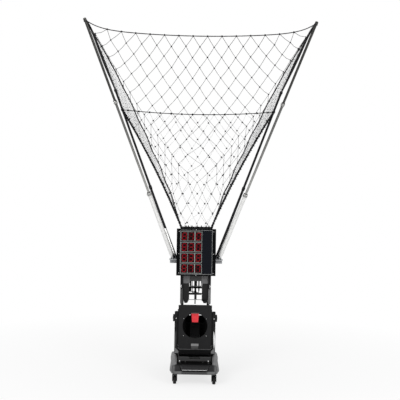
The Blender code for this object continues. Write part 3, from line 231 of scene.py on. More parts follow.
def world():
    """White to the camera. Gloss sees it dimmer on the camera's side, as with one white backdrop."""
    made = bpy.data.worlds.new("studio")
    bpy.context.scene.world = made
    graph = Graph(made)
    graph.nodes.clear()
    rays = graph.node("LightPath").outputs
    white = (1.0, 1.0, 1.0, 1.0)
    behind = graph.axis(graph.node("TexCoord").outputs["Generated"], "Y")
    strengths = (0.55, graph.span(behind, -0.6, 0.7, 0.42, 1.0), 1.0)
    lighting, gloss, seen = (graph.node("Background", Color=white, Strength=s).outputs[0] for s in strengths)
    either = graph.math("MAXIMUM", rays["Is Glossy Ray"], rays["Is Transmission Ray"])
    unseen = graph.layered(either, lighting, gloss)
    graph.node("OutputWorld", graph.layered(rays["Is Camera Ray"], unseen, seen))


def floor():
    """A pale floor that glows white to the camera farther out, so that it has no edge in the picture."""
    reach = 40.0
    corners = [(x * reach, y * reach, 0) for x, y in ((-1, -1), (1, -1), (1, 1), (-1, 1))]
    mesh = bpy.data.meshes.new("studio_floor")
    mesh.from_pydata(corners, [], [(0, 1, 2, 3)])
    made = Surface("studio_floor", (0.90, 0.90, 0.90), 0.9, specular=0.0)
    place = made.node("NewGeometry").outputs["Position"]
    far = made.math("LENGTH", place, kind="VectorMath", output="Value")
    fade = made.span(far, 0.6, 4.5, 0.74, 1.0)
    share = made.math("MULTIPLY", made.node("LightPath").outputs["Is Camera Ray"], fade)
    mixed = made.layered(share, made.shader.outputs[0], made.node("Emission").outputs[0])
    made.feed(made.nodes["Material Output"].inputs["Surface"], mixed)
    mesh.materials.append(made.material)
    placed("studio_floor", mesh)


# Materials


def shaded(colour, factor, lift=0.0):
    """A darker or lighter colour."""
    return tuple(min(1.0, c * factor + lift) for c in colour)


class Surface(Graph):
    """A Principled material whose colour, roughness and relief vary by noise in the object's coordinates."""

    def __init__(self, name, colour, roughness, metallic=0.0, specular=0.5):
        self.material = bpy.data.materials.new(name)
        super().__init__(self.material)
        self.shader = self.nodes["Principled BSDF"]
        self.shine(Metallic=metallic, Specular_IOR_Level=specular)
        self.shine(Roughness=roughness, Base_Color=(*colour, 1.0))
        self.colour, self.roughness = colour, roughness
        self.height = None
        self.place = self.node("TexCoord").outputs["Object"]

    def shine(self, **values):
        """Feeds the shader's inputs, whose names have _ for each space."""
        for key, value in values.items():
            self.feed(self.shader.inputs[key.replace("_", " ")], value)

    def mapped(self, scale, turn=None):
        place = self.place
        if turn is not None:
            place = self.node("Mapping", place, Rotation=turn).outputs["Vector"]
        return self.node("Mapping", place, Scale=scale).outputs["Vector"]

    def noise(self, scale, detail, place=None):
        return self.node("TexNoise", Vector=place or self.place, Scale=scale, Detail=detail).outputs["Fac"]

    def mix(self, factor, *colours):
        node = self.node("Mix", factor)
        node.data_type = "RGBA"
        for socket, colour in zip(node.inputs[6:8], colours):
            self.feed(socket, (*colour, 1.0) if isinstance(colour, tuple) else colour)
        return node.outputs[2]

    def over(self, factor, colour):
        """Lays a colour over the tone by a factor."""
        self.tone = self.mix(factor, self.tone, colour)
        self.shine(Base_Color=self.tone)
        return self

    def tint(self, amount, scale=7.0, fine=90.0):
        """Broad and fine variation of the colour and the roughness."""
        broad, close = self.noise(scale, 4.0), self.noise(fine, 2.0)
        both = self.math("ADD", self.math("MULTIPLY", broad, 0.65), self.math("MULTIPLY", close, 0.35))
        self.shade = self.span(both, 0.36, 0.64)
        self.tone = self.mix(self.shade, shaded(self.colour, 1 - amount), shaded(self.colour, 1 + amount))
        low, high = self.roughness - 0.06, self.roughness + 0.06
        self.shine(Base_Color=self.tone, Roughness=self.span(close, 0.35, 0.65, low, high))
        return self

    def relief(self, source, depth, strength):
        """A bump of this depth in metres."""
        node = self.node("Bump", Height=source, Strength=strength, Distance=depth)
        if self.height:
            self.feed(node.inputs["Normal"], self.height)
        self.height = node.outputs["Normal"]
        self.shine(Normal=self.height)
        return self

    def grain(self):
        """The fine spark-eroded grain of a mould."""
        pits = self.node("TexVoronoi", self.place, Scale=1100.0).outputs["Distance"]
        return self.relief(pits, 0.00006, 0.5)

    def worn_and_highlit_edges(self, colour, width, amount):
        """Edges lightened to another colour, broken up by noise: partly rubbed edges, partly painted
        highlight along them.
        """
        soft = self.node("Bevel", Radius=width)
        soft.samples = 4
        normals = soft.outputs[0], self.node("NewGeometry").outputs["Normal"]
        edge = self.span(self.math("DOT_PRODUCT", *normals, kind="VectorMath", output="Value"), 0.995, 0.90)
        broken = self.span(self.noise(45.0, 4.0), 0.42, 0.62)
        return self.over(self.math("MULTIPLY", self.math("MULTIPLY", edge, broken), amount), colour)


def moulded(name, colour, roughness, specular=0.35):
    """Injection-moulded plastic: a fine grain and faint flow marks."""
    made = Surface(name, colour, roughness, specular=specular).tint(0.14).grain()
    made.relief(made.noise(14.0, 2.0, place=made.mapped((1.0, 1.0, 0.3))), 0.0004, 0.25)
    # lighter edges: partly rubbed edges, partly painted highlight
    return made.worn_and_highlit_edges(shaded(colour, 3.0, 0.02), 0.0010, 0.5).material


def powder_coat(name, colour, roughness, specular=0.35, edge_wear_and_highlight=0.5):
    """Powder-coated sheet or tube: orange peel, and lighter edges, partly where the coat is thin and partly
    painted highlight.
    """
    made = Surface(name, colour, roughness, specular=specular).tint(0.12, 5.0, 60.0)
    made.relief(made.noise(650.0, 2.0), 0.00008, 0.6)
    made.relief(made.noise(6.0, 2.0), 0.0006, 0.15)
    return made.worn_and_highlit_edges(shaded(colour, 2.6, 0.03), 0.0012, edge_wear_and_highlight).material


def brushed(name, colour, roughness, metallic, fade, foot, direction):
    """Drawn aluminium tube: fine lines along it, a few longer scuffs across them, and, if it has a fade, an
    upper end painted darker as painted shade. A foot is bare aluminium over a black boot: (top of the boot,
    top of the bare sleeve)."""
    made = Surface(name, colour, roughness, metallic).tint(0.07, 4.0, 40.0)
    # painted shade: the fade darkens the tube's upper end
    if fade:
        low, high, left = fade
        made.over(made.span(made.axis(made.place, "Z"), low, high), shaded(colour, left))
    if foot:
        height = made.axis(made.place, "Z")
        boot, sleeve = (made.math("LESS_THAN", height, top) for top in foot)
        made.over(sleeve, BARE).over(boot, BOOT)
    turn = direction.to_track_quat("Z", "Y").inverted().to_euler()
    made.relief(made.noise(1.0, 3.0, place=made.mapped((900.0, 900.0, 9.0), turn)), 0.00003, 0.5)
    scuffs = made.noise(1.0, 2.0, place=made.mapped((30.0, 30.0, 220.0), turn))
    return made.over(made.span(scuffs, 0.66, 0.74), shaded(colour, 0.72)).material


def plain_metal(name, colour, roughness, metallic=1.0):
    made = Surface(name, colour, roughness, metallic).tint(0.10, 20.0, 200.0)
    return made.relief(made.noise(900.0, 2.0), 0.00003, 0.4).material


def rubber(name, colour, dusty, specular):
    made = Surface(name, colour, 0.72, specular=specular).tint(0.25, 18.0, 260.0)
    made.relief(made.noise(420.0, 3.0), 0.00015, 0.6)
    return made.over(made.span(made.noise(30.0, 4.0), 0.52, 0.72, 0.0, dusty), (0.09, 0.088, 0.085)).material


def twine(name, colour):
    """Twisted nylon: lines that wind round the cord, and a matte fuzz."""
    made = Surface(name, colour, 0.85, specular=0.15).tint(0.22, 12.0, 300.0)
    made.shine(Sheen_Weight=0.06, Sheen_Roughness=0.5)
    wave = made.node("TexWave", made.place, Scale=160.0, Distortion=1.5)
    wave.bands_direction = "DIAGONAL"
    return made.relief(wave.outputs["Fac"], 0.0003, 0.8).material


def bumper_with_painted_light(name, colour, roughness):
    """Dark, with the rounded bar below its crease in a lighter grey, partly painted highlight on the convex
    bar, fading towards its bottom as painted shade, lighter towards its ends, and lighter rounded ends.
    """
    made = Surface(name, colour, roughness, specular=0.25).tint(0.12, 8.0, 90.0)
    height = made.axis(made.place, "Z")
    across = made.math("ABSOLUTE", made.axis(made.place, "X"))
    # painted highlight on the bar below the crease, weaker towards its bottom as painted shade
    bar, under = made.span(height, 0.1545, 0.1490), made.span(height, 0.1150, 0.1300, 0.35, 1.0)
    paler = made.mix(made.span(across, 0.125, 0.150), (0.050, 0.050, 0.051), (0.125, 0.126, 0.127))
    made.over(made.math("MULTIPLY", bar, under), paler)
    made.over(made.span(across, 0.200, 0.218, 0.0, 0.9), (0.090, 0.091, 0.092))
    return made.grain().material


def lit(name, colour, strength):
    """A light-emitting segment under a red window, a little uneven."""
    made = Surface(name, colour, 0.35, specular=0.08).tint(0.2, 60.0, 300.0)
    made.shine(Emission_Color=made.tone, Emission_Strength=strength)
    return made.material


def two_tone(name, outer, inner, half, axis="X", middle=0.0, specular=0.3):
    """One colour beyond half a width from the middle, and another within it."""
    made = Surface(name, outer, 0.5, specular=specular).tint(0.10, 6.0, 70.0)
    from_middle = made.math("ABSOLUTE", made.math("SUBTRACT", made.axis(made.place, axis), middle))
    made.over(made.math("LESS_THAN", from_middle, half), made.mix(made.shade, shaded(inner, 0.9), inner))
    return made.relief(made.noise(650.0, 2.0), 0.00008, 0.6).material


LOOKS = {  # name: its maker, and the maker's arguments after the name
    "case_moulding": (moulded, (0.0016, 0.0018, 0.0022), 0.55, 0.04),
    "black_moulding": (moulded, (0.0070, 0.0070, 0.0075), 0.44, 0.16),
    # painted shade: near black above the grey band, over the housing's top face that lies in shade under the
    # head; near black below the band too
    "housing_moulding": (two_tone, (0.001, 0.001, 0.001), (0.050, 0.050, 0.051), 0.0235, "Z", 0.237, 0.06),
    "fairing_moulding": (two_tone, (0.185, 0.185, 0.188), (0.0008, 0.0008, 0.0008), 0.1895, "X", 0.0, 0.15),
    "bumper_moulding": (bumper_with_painted_light, (0.013, 0.013, 0.014), 0.36),
    "knob_plastic": (moulded, (0.006, 0.006, 0.007), 0.5, 0.15),
    # painted highlight: the light grey of the cord that stands for the highlight along the bumper panel's
    # lower edge
    "line_grey": (moulded, (0.58, 0.58, 0.58), 0.35),
    "digit_dull": (moulded, (0.055, 0.002, 0.005), 0.4, 0.03),
    "digit_red": (lit, (0.15, 0.004, 0.008), 0.13),
    "display": (two_tone, (0.0036, 0.0046, 0.0078), (0.0012, 0.0010, 0.0012), 0.1185, "X", -0.0530, 0.08),
    "flap_red": (moulded, (0.60, 0.033, 0.042), 0.42, 0.25),
    "deep_black": (powder_coat, (0.0016, 0.0016, 0.0017), 0.7, 0.03, 0.0),
    "dark_frame": (powder_coat, (0.0070, 0.0070, 0.0080), 0.45, 0.15),
    "dark_sheet": (powder_coat, (0.0110, 0.0110, 0.0115), 0.6, 0.16, 0.12),
    "grey_sheet": (powder_coat, (0.34, 0.35, 0.36), 0.45),
    "hinge_sheet": (powder_coat, (0.075, 0.075, 0.073), 0.5, 0.2),
    "cell_grey": (powder_coat, (0.24, 0.25, 0.24), 0.5),
    "trim_grey": (powder_coat, (0.27, 0.28, 0.28), 0.45),
    "edge_grey": (powder_coat, (0.085, 0.085, 0.086), 0.42),
    # painted shade: the darker, shaded left copy of the mast plate, and the dim left edge reflection
    "edge_dark": (powder_coat, (0.045, 0.045, 0.046), 0.42),
    # painted light: the lit right copy of the mast plate, and the flange corners' painted highlight
    "mast_plate": (powder_coat, (0.135, 0.135, 0.137), 0.45),
    "guard_sheet": (two_tone, (0.115, 0.115, 0.118), (0.040, 0.040, 0.041), 0.066),
    # painted highlight: light grey only in a band 13.5 mm either side of z 0.388, the highlight across the
    # curved lock plate; darker above and below it
    "lock_sheet": (two_tone, (0.050, 0.050, 0.050), (0.20, 0.20, 0.20), 0.0135, "Z", 0.388),
    "axle_steel": (plain_metal, (0.50, 0.50, 0.51), 0.32),
    "screw_zinc": (plain_metal, (0.80, 0.80, 0.80), 0.30),
    "collar_bright": (plain_metal, (0.36, 0.36, 0.35), 0.36),
    # painted reflection: the bright streak up the right side cover's rounded edge
    "edge_bright": (plain_metal, (0.86, 0.86, 0.86), 0.30, 0.3),
    "wheel_rubber": (rubber, (0.010, 0.010, 0.010), 0.20, 0.18),
    "roller_rubber": (rubber, (0.0020, 0.0020, 0.0020), 0.0, 0.04),
    "net_cord": (twine, (0.012, 0.012, 0.013)),
}
LOOKS = {name: maker(name, *values) for name, (maker, *values) in LOOKS.items()}

# The slots of the looks that aren't named like theirs
SLOT_LOOKS = {
    "black_moulding": ("case_moulding", "fairing_moulding", "bumper_moulding"),
    "grey_moulding": ("housing_moulding", "line_grey"),
    "grey_sheet": (
        "hinge_sheet", "cell_grey", "trim_grey", "edge_grey", "edge_dark", "mast_plate", "guard_sheet",
        "lock_sheet",
    ),
    "axle_steel": ("screw_zinc", "edge_bright"),
    "dark_frame": ("deep_black",),
    "display": ("digit_dull",),
    "flap_red": ("digit_red",),
    "silver_tube": ("collar_bright",),
    "wheel_rubber": ("roller_rubber",),
}
SLOTS = {look: slot for slot, looks in SLOT_LOOKS.items() for look in looks}

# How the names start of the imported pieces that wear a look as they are
WEARERS = {
    "case_moulding": ("scoreboard_case",),
    "black_moulding": ("power_switch",),
    "housing_moulding": ("turntable_housing",),
    "knob_plastic": ("clamp_knob", "side_knob"),
    "dark_frame": (
        "chassis_frame", "side_frame", "caster_fork", "turntable_bearing", "ball_ramp", "ball_gate",
    ),
    "deep_black": ("yaw_motor", "roller_motor"),
    "dark_sheet": ("head_front", "hopper", "rear_guard", "power_panel"),
    "guard_sheet": ("upper_guard",),
    "grey_sheet": ("net_arm",),
    "lock_sheet": ("front_lock",),
    "axle_steel": ("rear_axle",),
    "wheel_rubber": ("caster_wheel", "rear_wheel"),
    "roller_rubber": ("launch_roller",),
    "display": ("scoreboard_face",),
}


def finishes():
    """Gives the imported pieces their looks, and the poles their tubes and trims."""
    for name, node in frame["nodes"].items():
        for look, starts in WEARERS.items():
            if name.startswith(starts):
                node.data.materials.clear()
                node.data.materials.append(LOOKS[look])
                SLOTS.get(look, look)
    for side, hand in HANDS:
        for label in SECTIONS:
            slim_pole(label, side, hand)
        pole_trims(side, hand)


def dress(name, mesh, look, body, slot=None, smooth=40):
    """Makes a mesh a smooth piece with this look that rides on a body."""
    mesh.materials.clear()
    mesh.materials.append(LOOKS[look])
    mesh.shade_smooth()
    mesh.set_sharp_from_angle(angle=math.radians(smooth))
    made = placed(name, mesh)
    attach(made, body)
    slot or SLOTS.get(look, look)
    return made


def pole_way(foot, tip, side):
    return (mirrored(tip, side) - mirrored(foot, side)).normalized()


def slim_pole(label, side, hand):
    """A pole's tube: its solid drawn in towards its axis, with all its rings left at their heights."""
    name, look = f"{label}_{hand}", f"{label}_{hand}_metal"
    foot, tip, slot, (slim_foot, slim_rest), *finish = SECTIONS[label]
    foot, along = mirrored(foot, side), pole_way(foot, tip, side)
    bare = BARE_FOOT if name == "rear_pole_lower_left" else None
    LOOKS[look] = brushed(look, *finish, bare, along)
    mesh = frame["nodes"][name].data.copy()
    mesh.name = "slim_" + name
    for vertex in mesh.vertices:
        out = vertex.co - foot
        height = out.dot(along)
        radial = out - along * height
        share = min(1.0, max(0.0, (height - LUG_TOP) / LUG_BLEND))
        slim = slim_foot + (slim_rest - slim_foot) * min(1.0, height / SLIM_FULL)
        vertex.co = foot + along * height + radial * (1 + (slim - 1) * share)
    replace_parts(dress("slim_" + name, mesh, look, name, slot), name)


def pole_trims(side, hand):
    """Bushings in the collars, bright collar bands, the tips' caps and the snap buttons."""
    foot, along = mirrored(TALL_FOOT, side), pole_way(TALL_FOOT, TALL_TIP, side)
    across = along.cross(Vector((0, 1, 0))).normalized()
    rows = (  # section, its top, the bushing's bore, radius and rise, the band's radius and upper end
        ("front_pole_lower", 0.832, 0.0155, 0.0196, 0.004, 0.0235, -0.002),
        ("front_pole_middle", 1.862, 0.0115, 0.0160, 0.0012, 0.0182, -0.004),
    )
    for label, top, bore, outer, high, radius, low in rows:
        body, end = f"{label}_{hand}", foot + along * top
        bush = [
            (bore, high), (outer - 0.002, high), (outer, 0.4 * high), (outer, -0.001),
            (bore + 0.003, -0.002), (bore, -0.012),
        ]
        Form().lathe(bush, end, along).object(f"bushing_{body}", "knob_plastic", body, smooth=35)
        thin, thick = radius - 0.001, radius + 0.0008
        band = [(thin, low), (thick, low - 0.002), (thick, -0.030), (thin, -0.032)]
        Form().lathe(band, end, along).object(f"collar_band_{body}", "collar_bright", body, smooth=35)
        spot = foot + along * (top - 0.016) + across * (radius + 0.0006)
        button = Form().screw(spot, across, 0.0055, 0.0045)
        button.object(f"snap_button_{body}", "screw_zinc", body, smooth=35)
    cap = [(0.0, 0.003), (0.008, 0.002), (0.0128, -0.002), (0.0134, -0.006), (0.0134, -0.020), (0.0, -0.020)]
    form = Form().turned(cap, mirrored(TALL_TIP, side), along, 24)
    form.object(f"tip_cap_{hand}", "collar_bright", f"front_pole_upper_{hand}", smooth=35)
    foot, along = mirrored(SHORT_FOOT, side), pole_way(SHORT_FOOT, SHORT_TIP, side)
    band = [(0.0150, 0.009), (0.0178, 0.007), (0.0178, -0.026), (0.0150, -0.028)]
    form = Form().lathe(band, foot + along * 0.895, along)
    form.object(f"collar_band_rear_{hand}", "collar_bright", f"rear_pole_lower_{hand}", smooth=35)


# Forms


def around(axis, steps):
    """Unit vectors all round an axis."""
    first = axis.orthogonal().normalized()
    second = axis.cross(first)
    turns = (math.tau * i / steps for i in range(steps))
    return [first * math.cos(turn) + second * math.sin(turn) for turn in turns]


def closed_grid(rows, columns):
    """Quads between rings of vertices, of which the last meets the first."""
    faces = []
    for i in range(rows):
        for k in range(columns):
            j, n = (i + 1) % rows, (k + 1) % columns
            faces.append((i * columns + k, j * columns + k, j * columns + n, i * columns + n))
    return faces


def rounded_octahedron():
    """The hull of four points round the end of each axis."""
    bm = bmesh.new()
    for axis in range(3):
        for way in (-1, 1):
            for u, v in ((0.38, 0), (0, 0.38), (-0.38, 0), (0, -0.38)):
                point = [0.0, 0.0, 0.0]
                point[axis], point[(axis + 1) % 3], point[(axis + 2) % 3] = way * 0.92, u, v
                bm.verts.new(point)
    bmesh.ops.convex_hull(bm, input=bm.verts[:])
    bm.verts.index_update()
    shape = ([tuple(v.co) for v in bm.verts], [tuple(v.index for v in f.verts) for f in bm.faces])
    bm.free()
    return shape


LUMP_VERTS, LUMP_FACES = rounded_octahedron()


def front_at(x, y, z):
    """Axes for a slab that faces the front, at a point."""
    return (Vector((x, y, z)), *FRONT)


class Form:
    """Collects closed shapes and makes one object of them."""

    def __init__(self):
        self.verts, self.faces = [], []

    def add(self, verts, faces):
        start = len(self.verts)
        self.verts += verts
        self.faces += [tuple(start + i for i in face) for face in faces]
        return self

    def tube(self, points, radius, sides=6):
        """A capped tube along points, whose radius may be a list."""
        points = [Vector(point) for point in points]
        count = len(points)
        radii = radius if isinstance(radius, (list, tuple)) else [radius] * count
        across = None
        verts = []
        for i, point in enumerate(points):
            ahead = (points[min(i + 1, count - 1)] - points[max(i - 1, 0)]).normalized()
            if across is None:
                across = ahead.orthogonal().normalized()
            across = (across - ahead * across.dot(ahead)).normalized()
            other = ahead.cross(across)
            for k in range(sides):
                angle = math.tau * k / sides
                verts.append(point + (across * math.cos(angle) + other * math.sin(angle)) * radii[i])
        faces = [tuple(reversed(range(sides))), tuple(range((count - 1) * sides, count * sides))]
        for i in range(count - 1):
            for k in range(sides):
                a, b = i * sides + k, i * sides + (k + 1) % sides
                faces.append((a, b, b + sides, a + sides))
        return self.add(verts, faces)

    def ring(self, centre, axis, radius, thick, steps=20, sides=8):
        """A torus."""
        axis = axis.normalized()
        tilts = [math.tau * k / sides for k in range(sides)]
        verts = [
            centre + out * (radius + thick * math.cos(tilt)) + axis * thick * math.sin(tilt)
            for out in around(axis, steps) for tilt in tilts
        ]
        return self.add(verts, closed_grid(steps, sides))

    def lathe(self, profile, centre, axis):
        """A turned shape with a bore: profile is a closed loop of (radius, height)."""
        axis, outs = axis.normalized(), around(axis.normalized(), 24)
        verts = [centre + out * radius + axis * height for out in outs for radius, height in profile]
        return self.add(verts, closed_grid(len(outs), len(profile)))

    def turned(self, profile, centre, axis, steps):
        """A closed turned shape: profile is (radius, height) from the top down, from axis to axis."""
        axis = axis.normalized()
        inner, outs = profile[1:-1], around(axis, steps)
        verts = [centre + axis * profile[0][1], centre + axis * profile[-1][1]]
        verts += [centre + axis * height + out * radius for radius, height in inner for out in outs]
        faces = []
        last = 2 + (len(inner) - 1) * steps
        for i in range(steps):
            j = (i + 1) % steps
            faces.append((0, 2 + i, 2 + j))
            faces.append((1, last + j, last + i))
            for row in range(len(inner) - 1):
                a, b = 2 + row * steps, 2 + (row + 1) * steps
                faces.append((a + i, b + i, b + j, a + j))
        return self.add(verts, faces)

    def lump(self, centre, radius):
        """A small rounded octahedron."""
        return self.add([centre + Vector((x, y, z * SQUASH)) * radius for x, y, z in LUMP_VERTS], LUMP_FACES)

    def slab(self, outline, low, high, axes):
        """A flat outline given thickness from low to high along the third of the axes."""
        origin, right, up, out = axes
        count = len(outline)
        verts = [origin + right * x + up * y + out * level for level in (low, high) for x, y in outline]
        faces = [tuple(reversed(range(count))), tuple(range(count, 2 * count))]
        for i in range(count):
            j = (i + 1) % count
            faces.append((i, j, j + count, i + count))
        return self.add(verts, faces)

    def box(self, corner, other):
        """A block between two corners, for a bevelled piece."""
        (x0, x1), (y0, y1), (z0, z1) = (sorted(pair) for pair in zip(corner, other))
        return self.slab([(x0, z0), (x1, z0), (x1, z1), (x0, z1)], -y1, -y0, front_at(0, 0, 0))

    def screw(self, centre, out, radius, rise):
        """A pan head with a hexagon socket."""
        profile = [
            (0.0, rise * 0.45), (radius * 0.42, rise * 0.45), (radius * 0.46, rise),
            (radius * 0.80, rise * 0.9), (radius, rise * 0.5), (radius, -0.001), (0.0, -0.001),
        ]
        return self.turned(profile, centre, out, 18)

    def object(self, name, look, body, slot=None, smooth=40, bevel=0.0, segments=1):
        mesh = bpy.data.meshes.new(name)
        mesh.from_pydata([tuple(v) for v in self.verts], [], self.faces)
        bm = bmesh.new()
        bm.from_mesh(mesh)
        bmesh.ops.recalc_face_normals(bm, faces=bm.faces[:])
        if bevel:
            edges = [e for e in bm.edges if len(e.link_faces) == 2 and e.calc_face_angle() > math.radians(35)]
            bmesh.ops.bevel(bm, geom=edges, offset=bevel, segments=segments, profile=0.5, affect="EDGES")
        bm.to_mesh(mesh)
        bm.free()
        return dress(name, mesh, look, body, slot, smooth)


def screws(name, body, spots, out, rise=0.0022, metal="screw_zinc"):
    """One piece of screw heads: spots are (x, y, z, radius)."""
    form = Form()
    for *spot, radius in spots:
        form.screw(Vector(spot), out, radius, rise)
    form.object(name, metal, body, smooth=35)


# Net


def bow(t):
    """0 at both ends and 1 in the middle."""
    return 4 * t * (1 - t)


def front_seam(t):
    """The inner corner rope: it bows inwards, most of all low down, and it is a little wavy there."""
    low = Vector((NET_LOW_X, NET_LOW_FRONT, NET_LOW))
    tip = TALL_TIP - (TALL_TIP - TALL_FOOT).normalized() * SEAM_END
    wave = SEAM_WAVE * math.sin(math.tau * SEAM_WAVES * t) * bow(t) * (1 - t)
    inwards = SEAM_PULL * (1 - abs(2 * t - 1) ** 3) + wave
    return low.lerp(tip, t) + Vector((-inwards, SEAM_DEPTH * bow(t), 0))


def rope_end():
    """Where the rear rope is tied to the right short pole."""
    return SHORT_FOOT.lerp(SHORT_TIP, ROPE_SHARE)


def rear_seam(t):
    low = Vector((NET_LOW_X, NET_LOW_BACK, NET_LOW))
    inwards = 0.8 * SEAM_DEPTH * bow(t)
    return low.lerp(rope_end(), t) + Vector((-inwards, -inwards, 0))


def side_back(t):
    """The back edge of a side panel: up the rear seam, then beside the short pole to its tip."""
    part = 5 / 6
    if t <= part:
        return rear_seam(t / part)
    return rope_end().lerp(SHORT_TIP - Vector((0.006, 0.012, 0.014)), (t - part) / (1 - part))


def mirrored(point, side):
    """A point on the right, or its mirror image on the left."""
    return Vector((side * point.x, point.y, point.z))


def sag(s, t, depth):
    """How the rim hangs between its ends, and the net below it less and less."""
    return UP * (-depth * bow(s) * t ** 2)


def front_surface(s, t):
    """The front rope drops quickly beside the tips and is nearly level between."""
    right = front_seam(t)
    u = abs(2 * s - 1)
    drop = FRONT_SAG * (QUICK_SAG * (1 - u ** 9) + (1 - QUICK_SAG) * (1 - u ** 2)) * t ** 2
    return mirrored(right, -1).lerp(right, s) - UP * drop


def rear_surface(s, t):
    right = rear_seam(t)
    return mirrored(right, -1).lerp(right, s) + sag(s, t, REAR_SAG)


def side_surface(side):
    """The side rope sags a little, and the net pulls it inwards, most of all beside the tall pole's tip."""
    def surface(s, t):
        inwards = SIDE_PULL * (1 - s) * (1 - (1 - s) ** 16) * t ** 2
        straight = front_seam(t).lerp(side_back(t), s)
        return mirrored(straight + sag(s, t, SIDE_SAG) - Vector((inwards, 0, 0)), side)
    return surface


class Panel:
    """One side of the net: where its knots are, as (x, t), x metres from the middle line and t up from the
    hopper.

    Column p counts half meshes from the middle and row j half meshes down from the rope. The meshes hang
    square inside a V whose edges come down from the ends of the rope. Beside the V the strands that lean
    outwards turn upright, and below its point the meshes are narrow. What reaches past a seam is cut there.

    Pitch and stretch space the rows. Step is half a mesh's width at the rope, and growth is what it gains
    down to the hopper. Drop is a row's height beside the V. Low_drop and low_step are a row's height and gain
    below it."""

    def __init__(self, surface, half_columns, pitch, stretch, step, growth, drop, low_drop, low_step):
        self.surface, self.pitch, self.stretch = surface, pitch, stretch
        self.step, self.growth, self.drop = step, growth, drop
        self.low_drop, self.low_step = low_drop, low_step
        self.point_row = half_columns + 1
        self.point_mesh = self.mesh(self.row(self.point_row))
        self.knots = {}
        for j in range(round(1.5 / pitch)):
            for p in range(-half_columns * 2, half_columns * 2 + 1):
                if (p + half_columns + j) % 2 and not (j == 0 and abs(p) >= half_columns):
                    self.knots[p, j] = self.knot(p, j)

    def row(self, j):
        return 1 - self.pitch * j - self.stretch * j * j

    def half(self, t):
        return (self.surface(1, t) - self.surface(0, t)).length / 2

    def at(self, x, t):
        t = min(1.0, max(0.0, t))
        return self.surface(0.5 + x / (2 * self.half(t)), t)

    def mesh(self, t):
        return self.step + self.growth * (1 - t)

    @staticmethod
    def lean(foot):
        """How many half meshes the V's edge is pulled outwards, foot half meshes from the middle."""
        return LEAN * min(1.0, foot / 2)

    def knot(self, p, j):
        """Where a knot is, and whether it is in the panel."""
        side, p = math.copysign(1, p), abs(p)
        on_edge = self.point_row - j
        if j == 0:
            x, t = p * self.mesh(1.0), 1.0
        elif p <= on_edge:
            t = self.row(j)
            x = (p + self.lean(on_edge) * max(0.0, 1 - (on_edge - p) / LEAN_REACH)) * self.mesh(t)
        elif j <= self.point_row:
            down = (p - on_edge) / 2
            start = self.row(j - down)
            x = (p - down + self.lean(p - down)) * self.mesh(start)
            t = start - down * self.drop
        else:
            below = j - self.point_row
            x = (p / 2 + self.lean(p / 2)) * (self.point_mesh + self.low_step * below)
            t = self.row(self.point_row - p / 2) - p / 2 * self.drop - below * self.low_drop
        if j:
            x += JITTER[0] * math.sin(12.9 * p * side + 4.1 * j)
            t += JITTER[1] * math.sin(7.3 * p * side - 9.7 * j)
        return side * x, t, 0 <= t <= 1 and x < self.half(t)

    def cut(self, start, end):
        """The last place inside the panel on the way from start to end."""
        low, high = 0.0, 1.0
        for _ in range(12):
            share = (low + high) / 2
            x, t = (a + (b - a) * share for a, b in zip(start[:2], end[:2]))
            if t >= 0 and abs(x) < self.half(t):
                low = share
            else:
                high = share
        return tuple(a + (b - a) * low for a, b in zip(start[:2], end[:2]))

    def strands(self):
        """Pairs of places, one for each strand between two knots, or from a knot to the edge."""
        for (p, j), here in self.knots.items():
            for way in (-1, 1):
                there = self.knots.get((p + way, j + 1))
                if there is None or not (here[2] or there[2]):
                    continue
                if here[2] and there[2]:
                    yield here[:2], there[:2]
                elif here[2]:
                    yield here[:2], self.cut(here, there)
                else:
                    yield there[:2], self.cut(there, here)


def knot(form, centre, along, radius):
    """A mesh knot: a pinched lump with a turn of twine round it."""
    form.lump(centre, radius)
    form.ring(centre, along, radius * 0.62, radius * 0.42, 8, 4)


def laid_rope(form, points, radius, turns):
    """Three strands twisted about a path, with this many turns in all."""
    strand = radius / LAID
    steps = max(4, round(turns * 8))
    walked = [0.0]
    for a, b in zip(points, points[1:]):
        walked.append(walked[-1] + (b - a).length)
    path, place = [], 0
    for n in range(steps + 1):
        along = walked[-1] * n / steps
        while place < len(points) - 2 and walked[place + 1] < along:
            place += 1
        share = (along - walked[place]) / (walked[place + 1] - walked[place])
        path.append(points[place].lerp(points[place + 1], share))
    for k in range(3):
        route = []
        for n, point in enumerate(path):
            ahead = (path[min(n + 1, steps)] - path[max(n - 1, 0)]).normalized()
            across = ahead.cross(UP if abs(ahead.z) < 0.9 else Vector((1, 0, 0))).normalized()
            angle = math.tau * (turns * n / steps + k / 3)
            out = across * math.cos(angle) + ahead.cross(across) * math.sin(angle)
            route.append(point + out * (radius - strand))
        form.tube(route, strand)


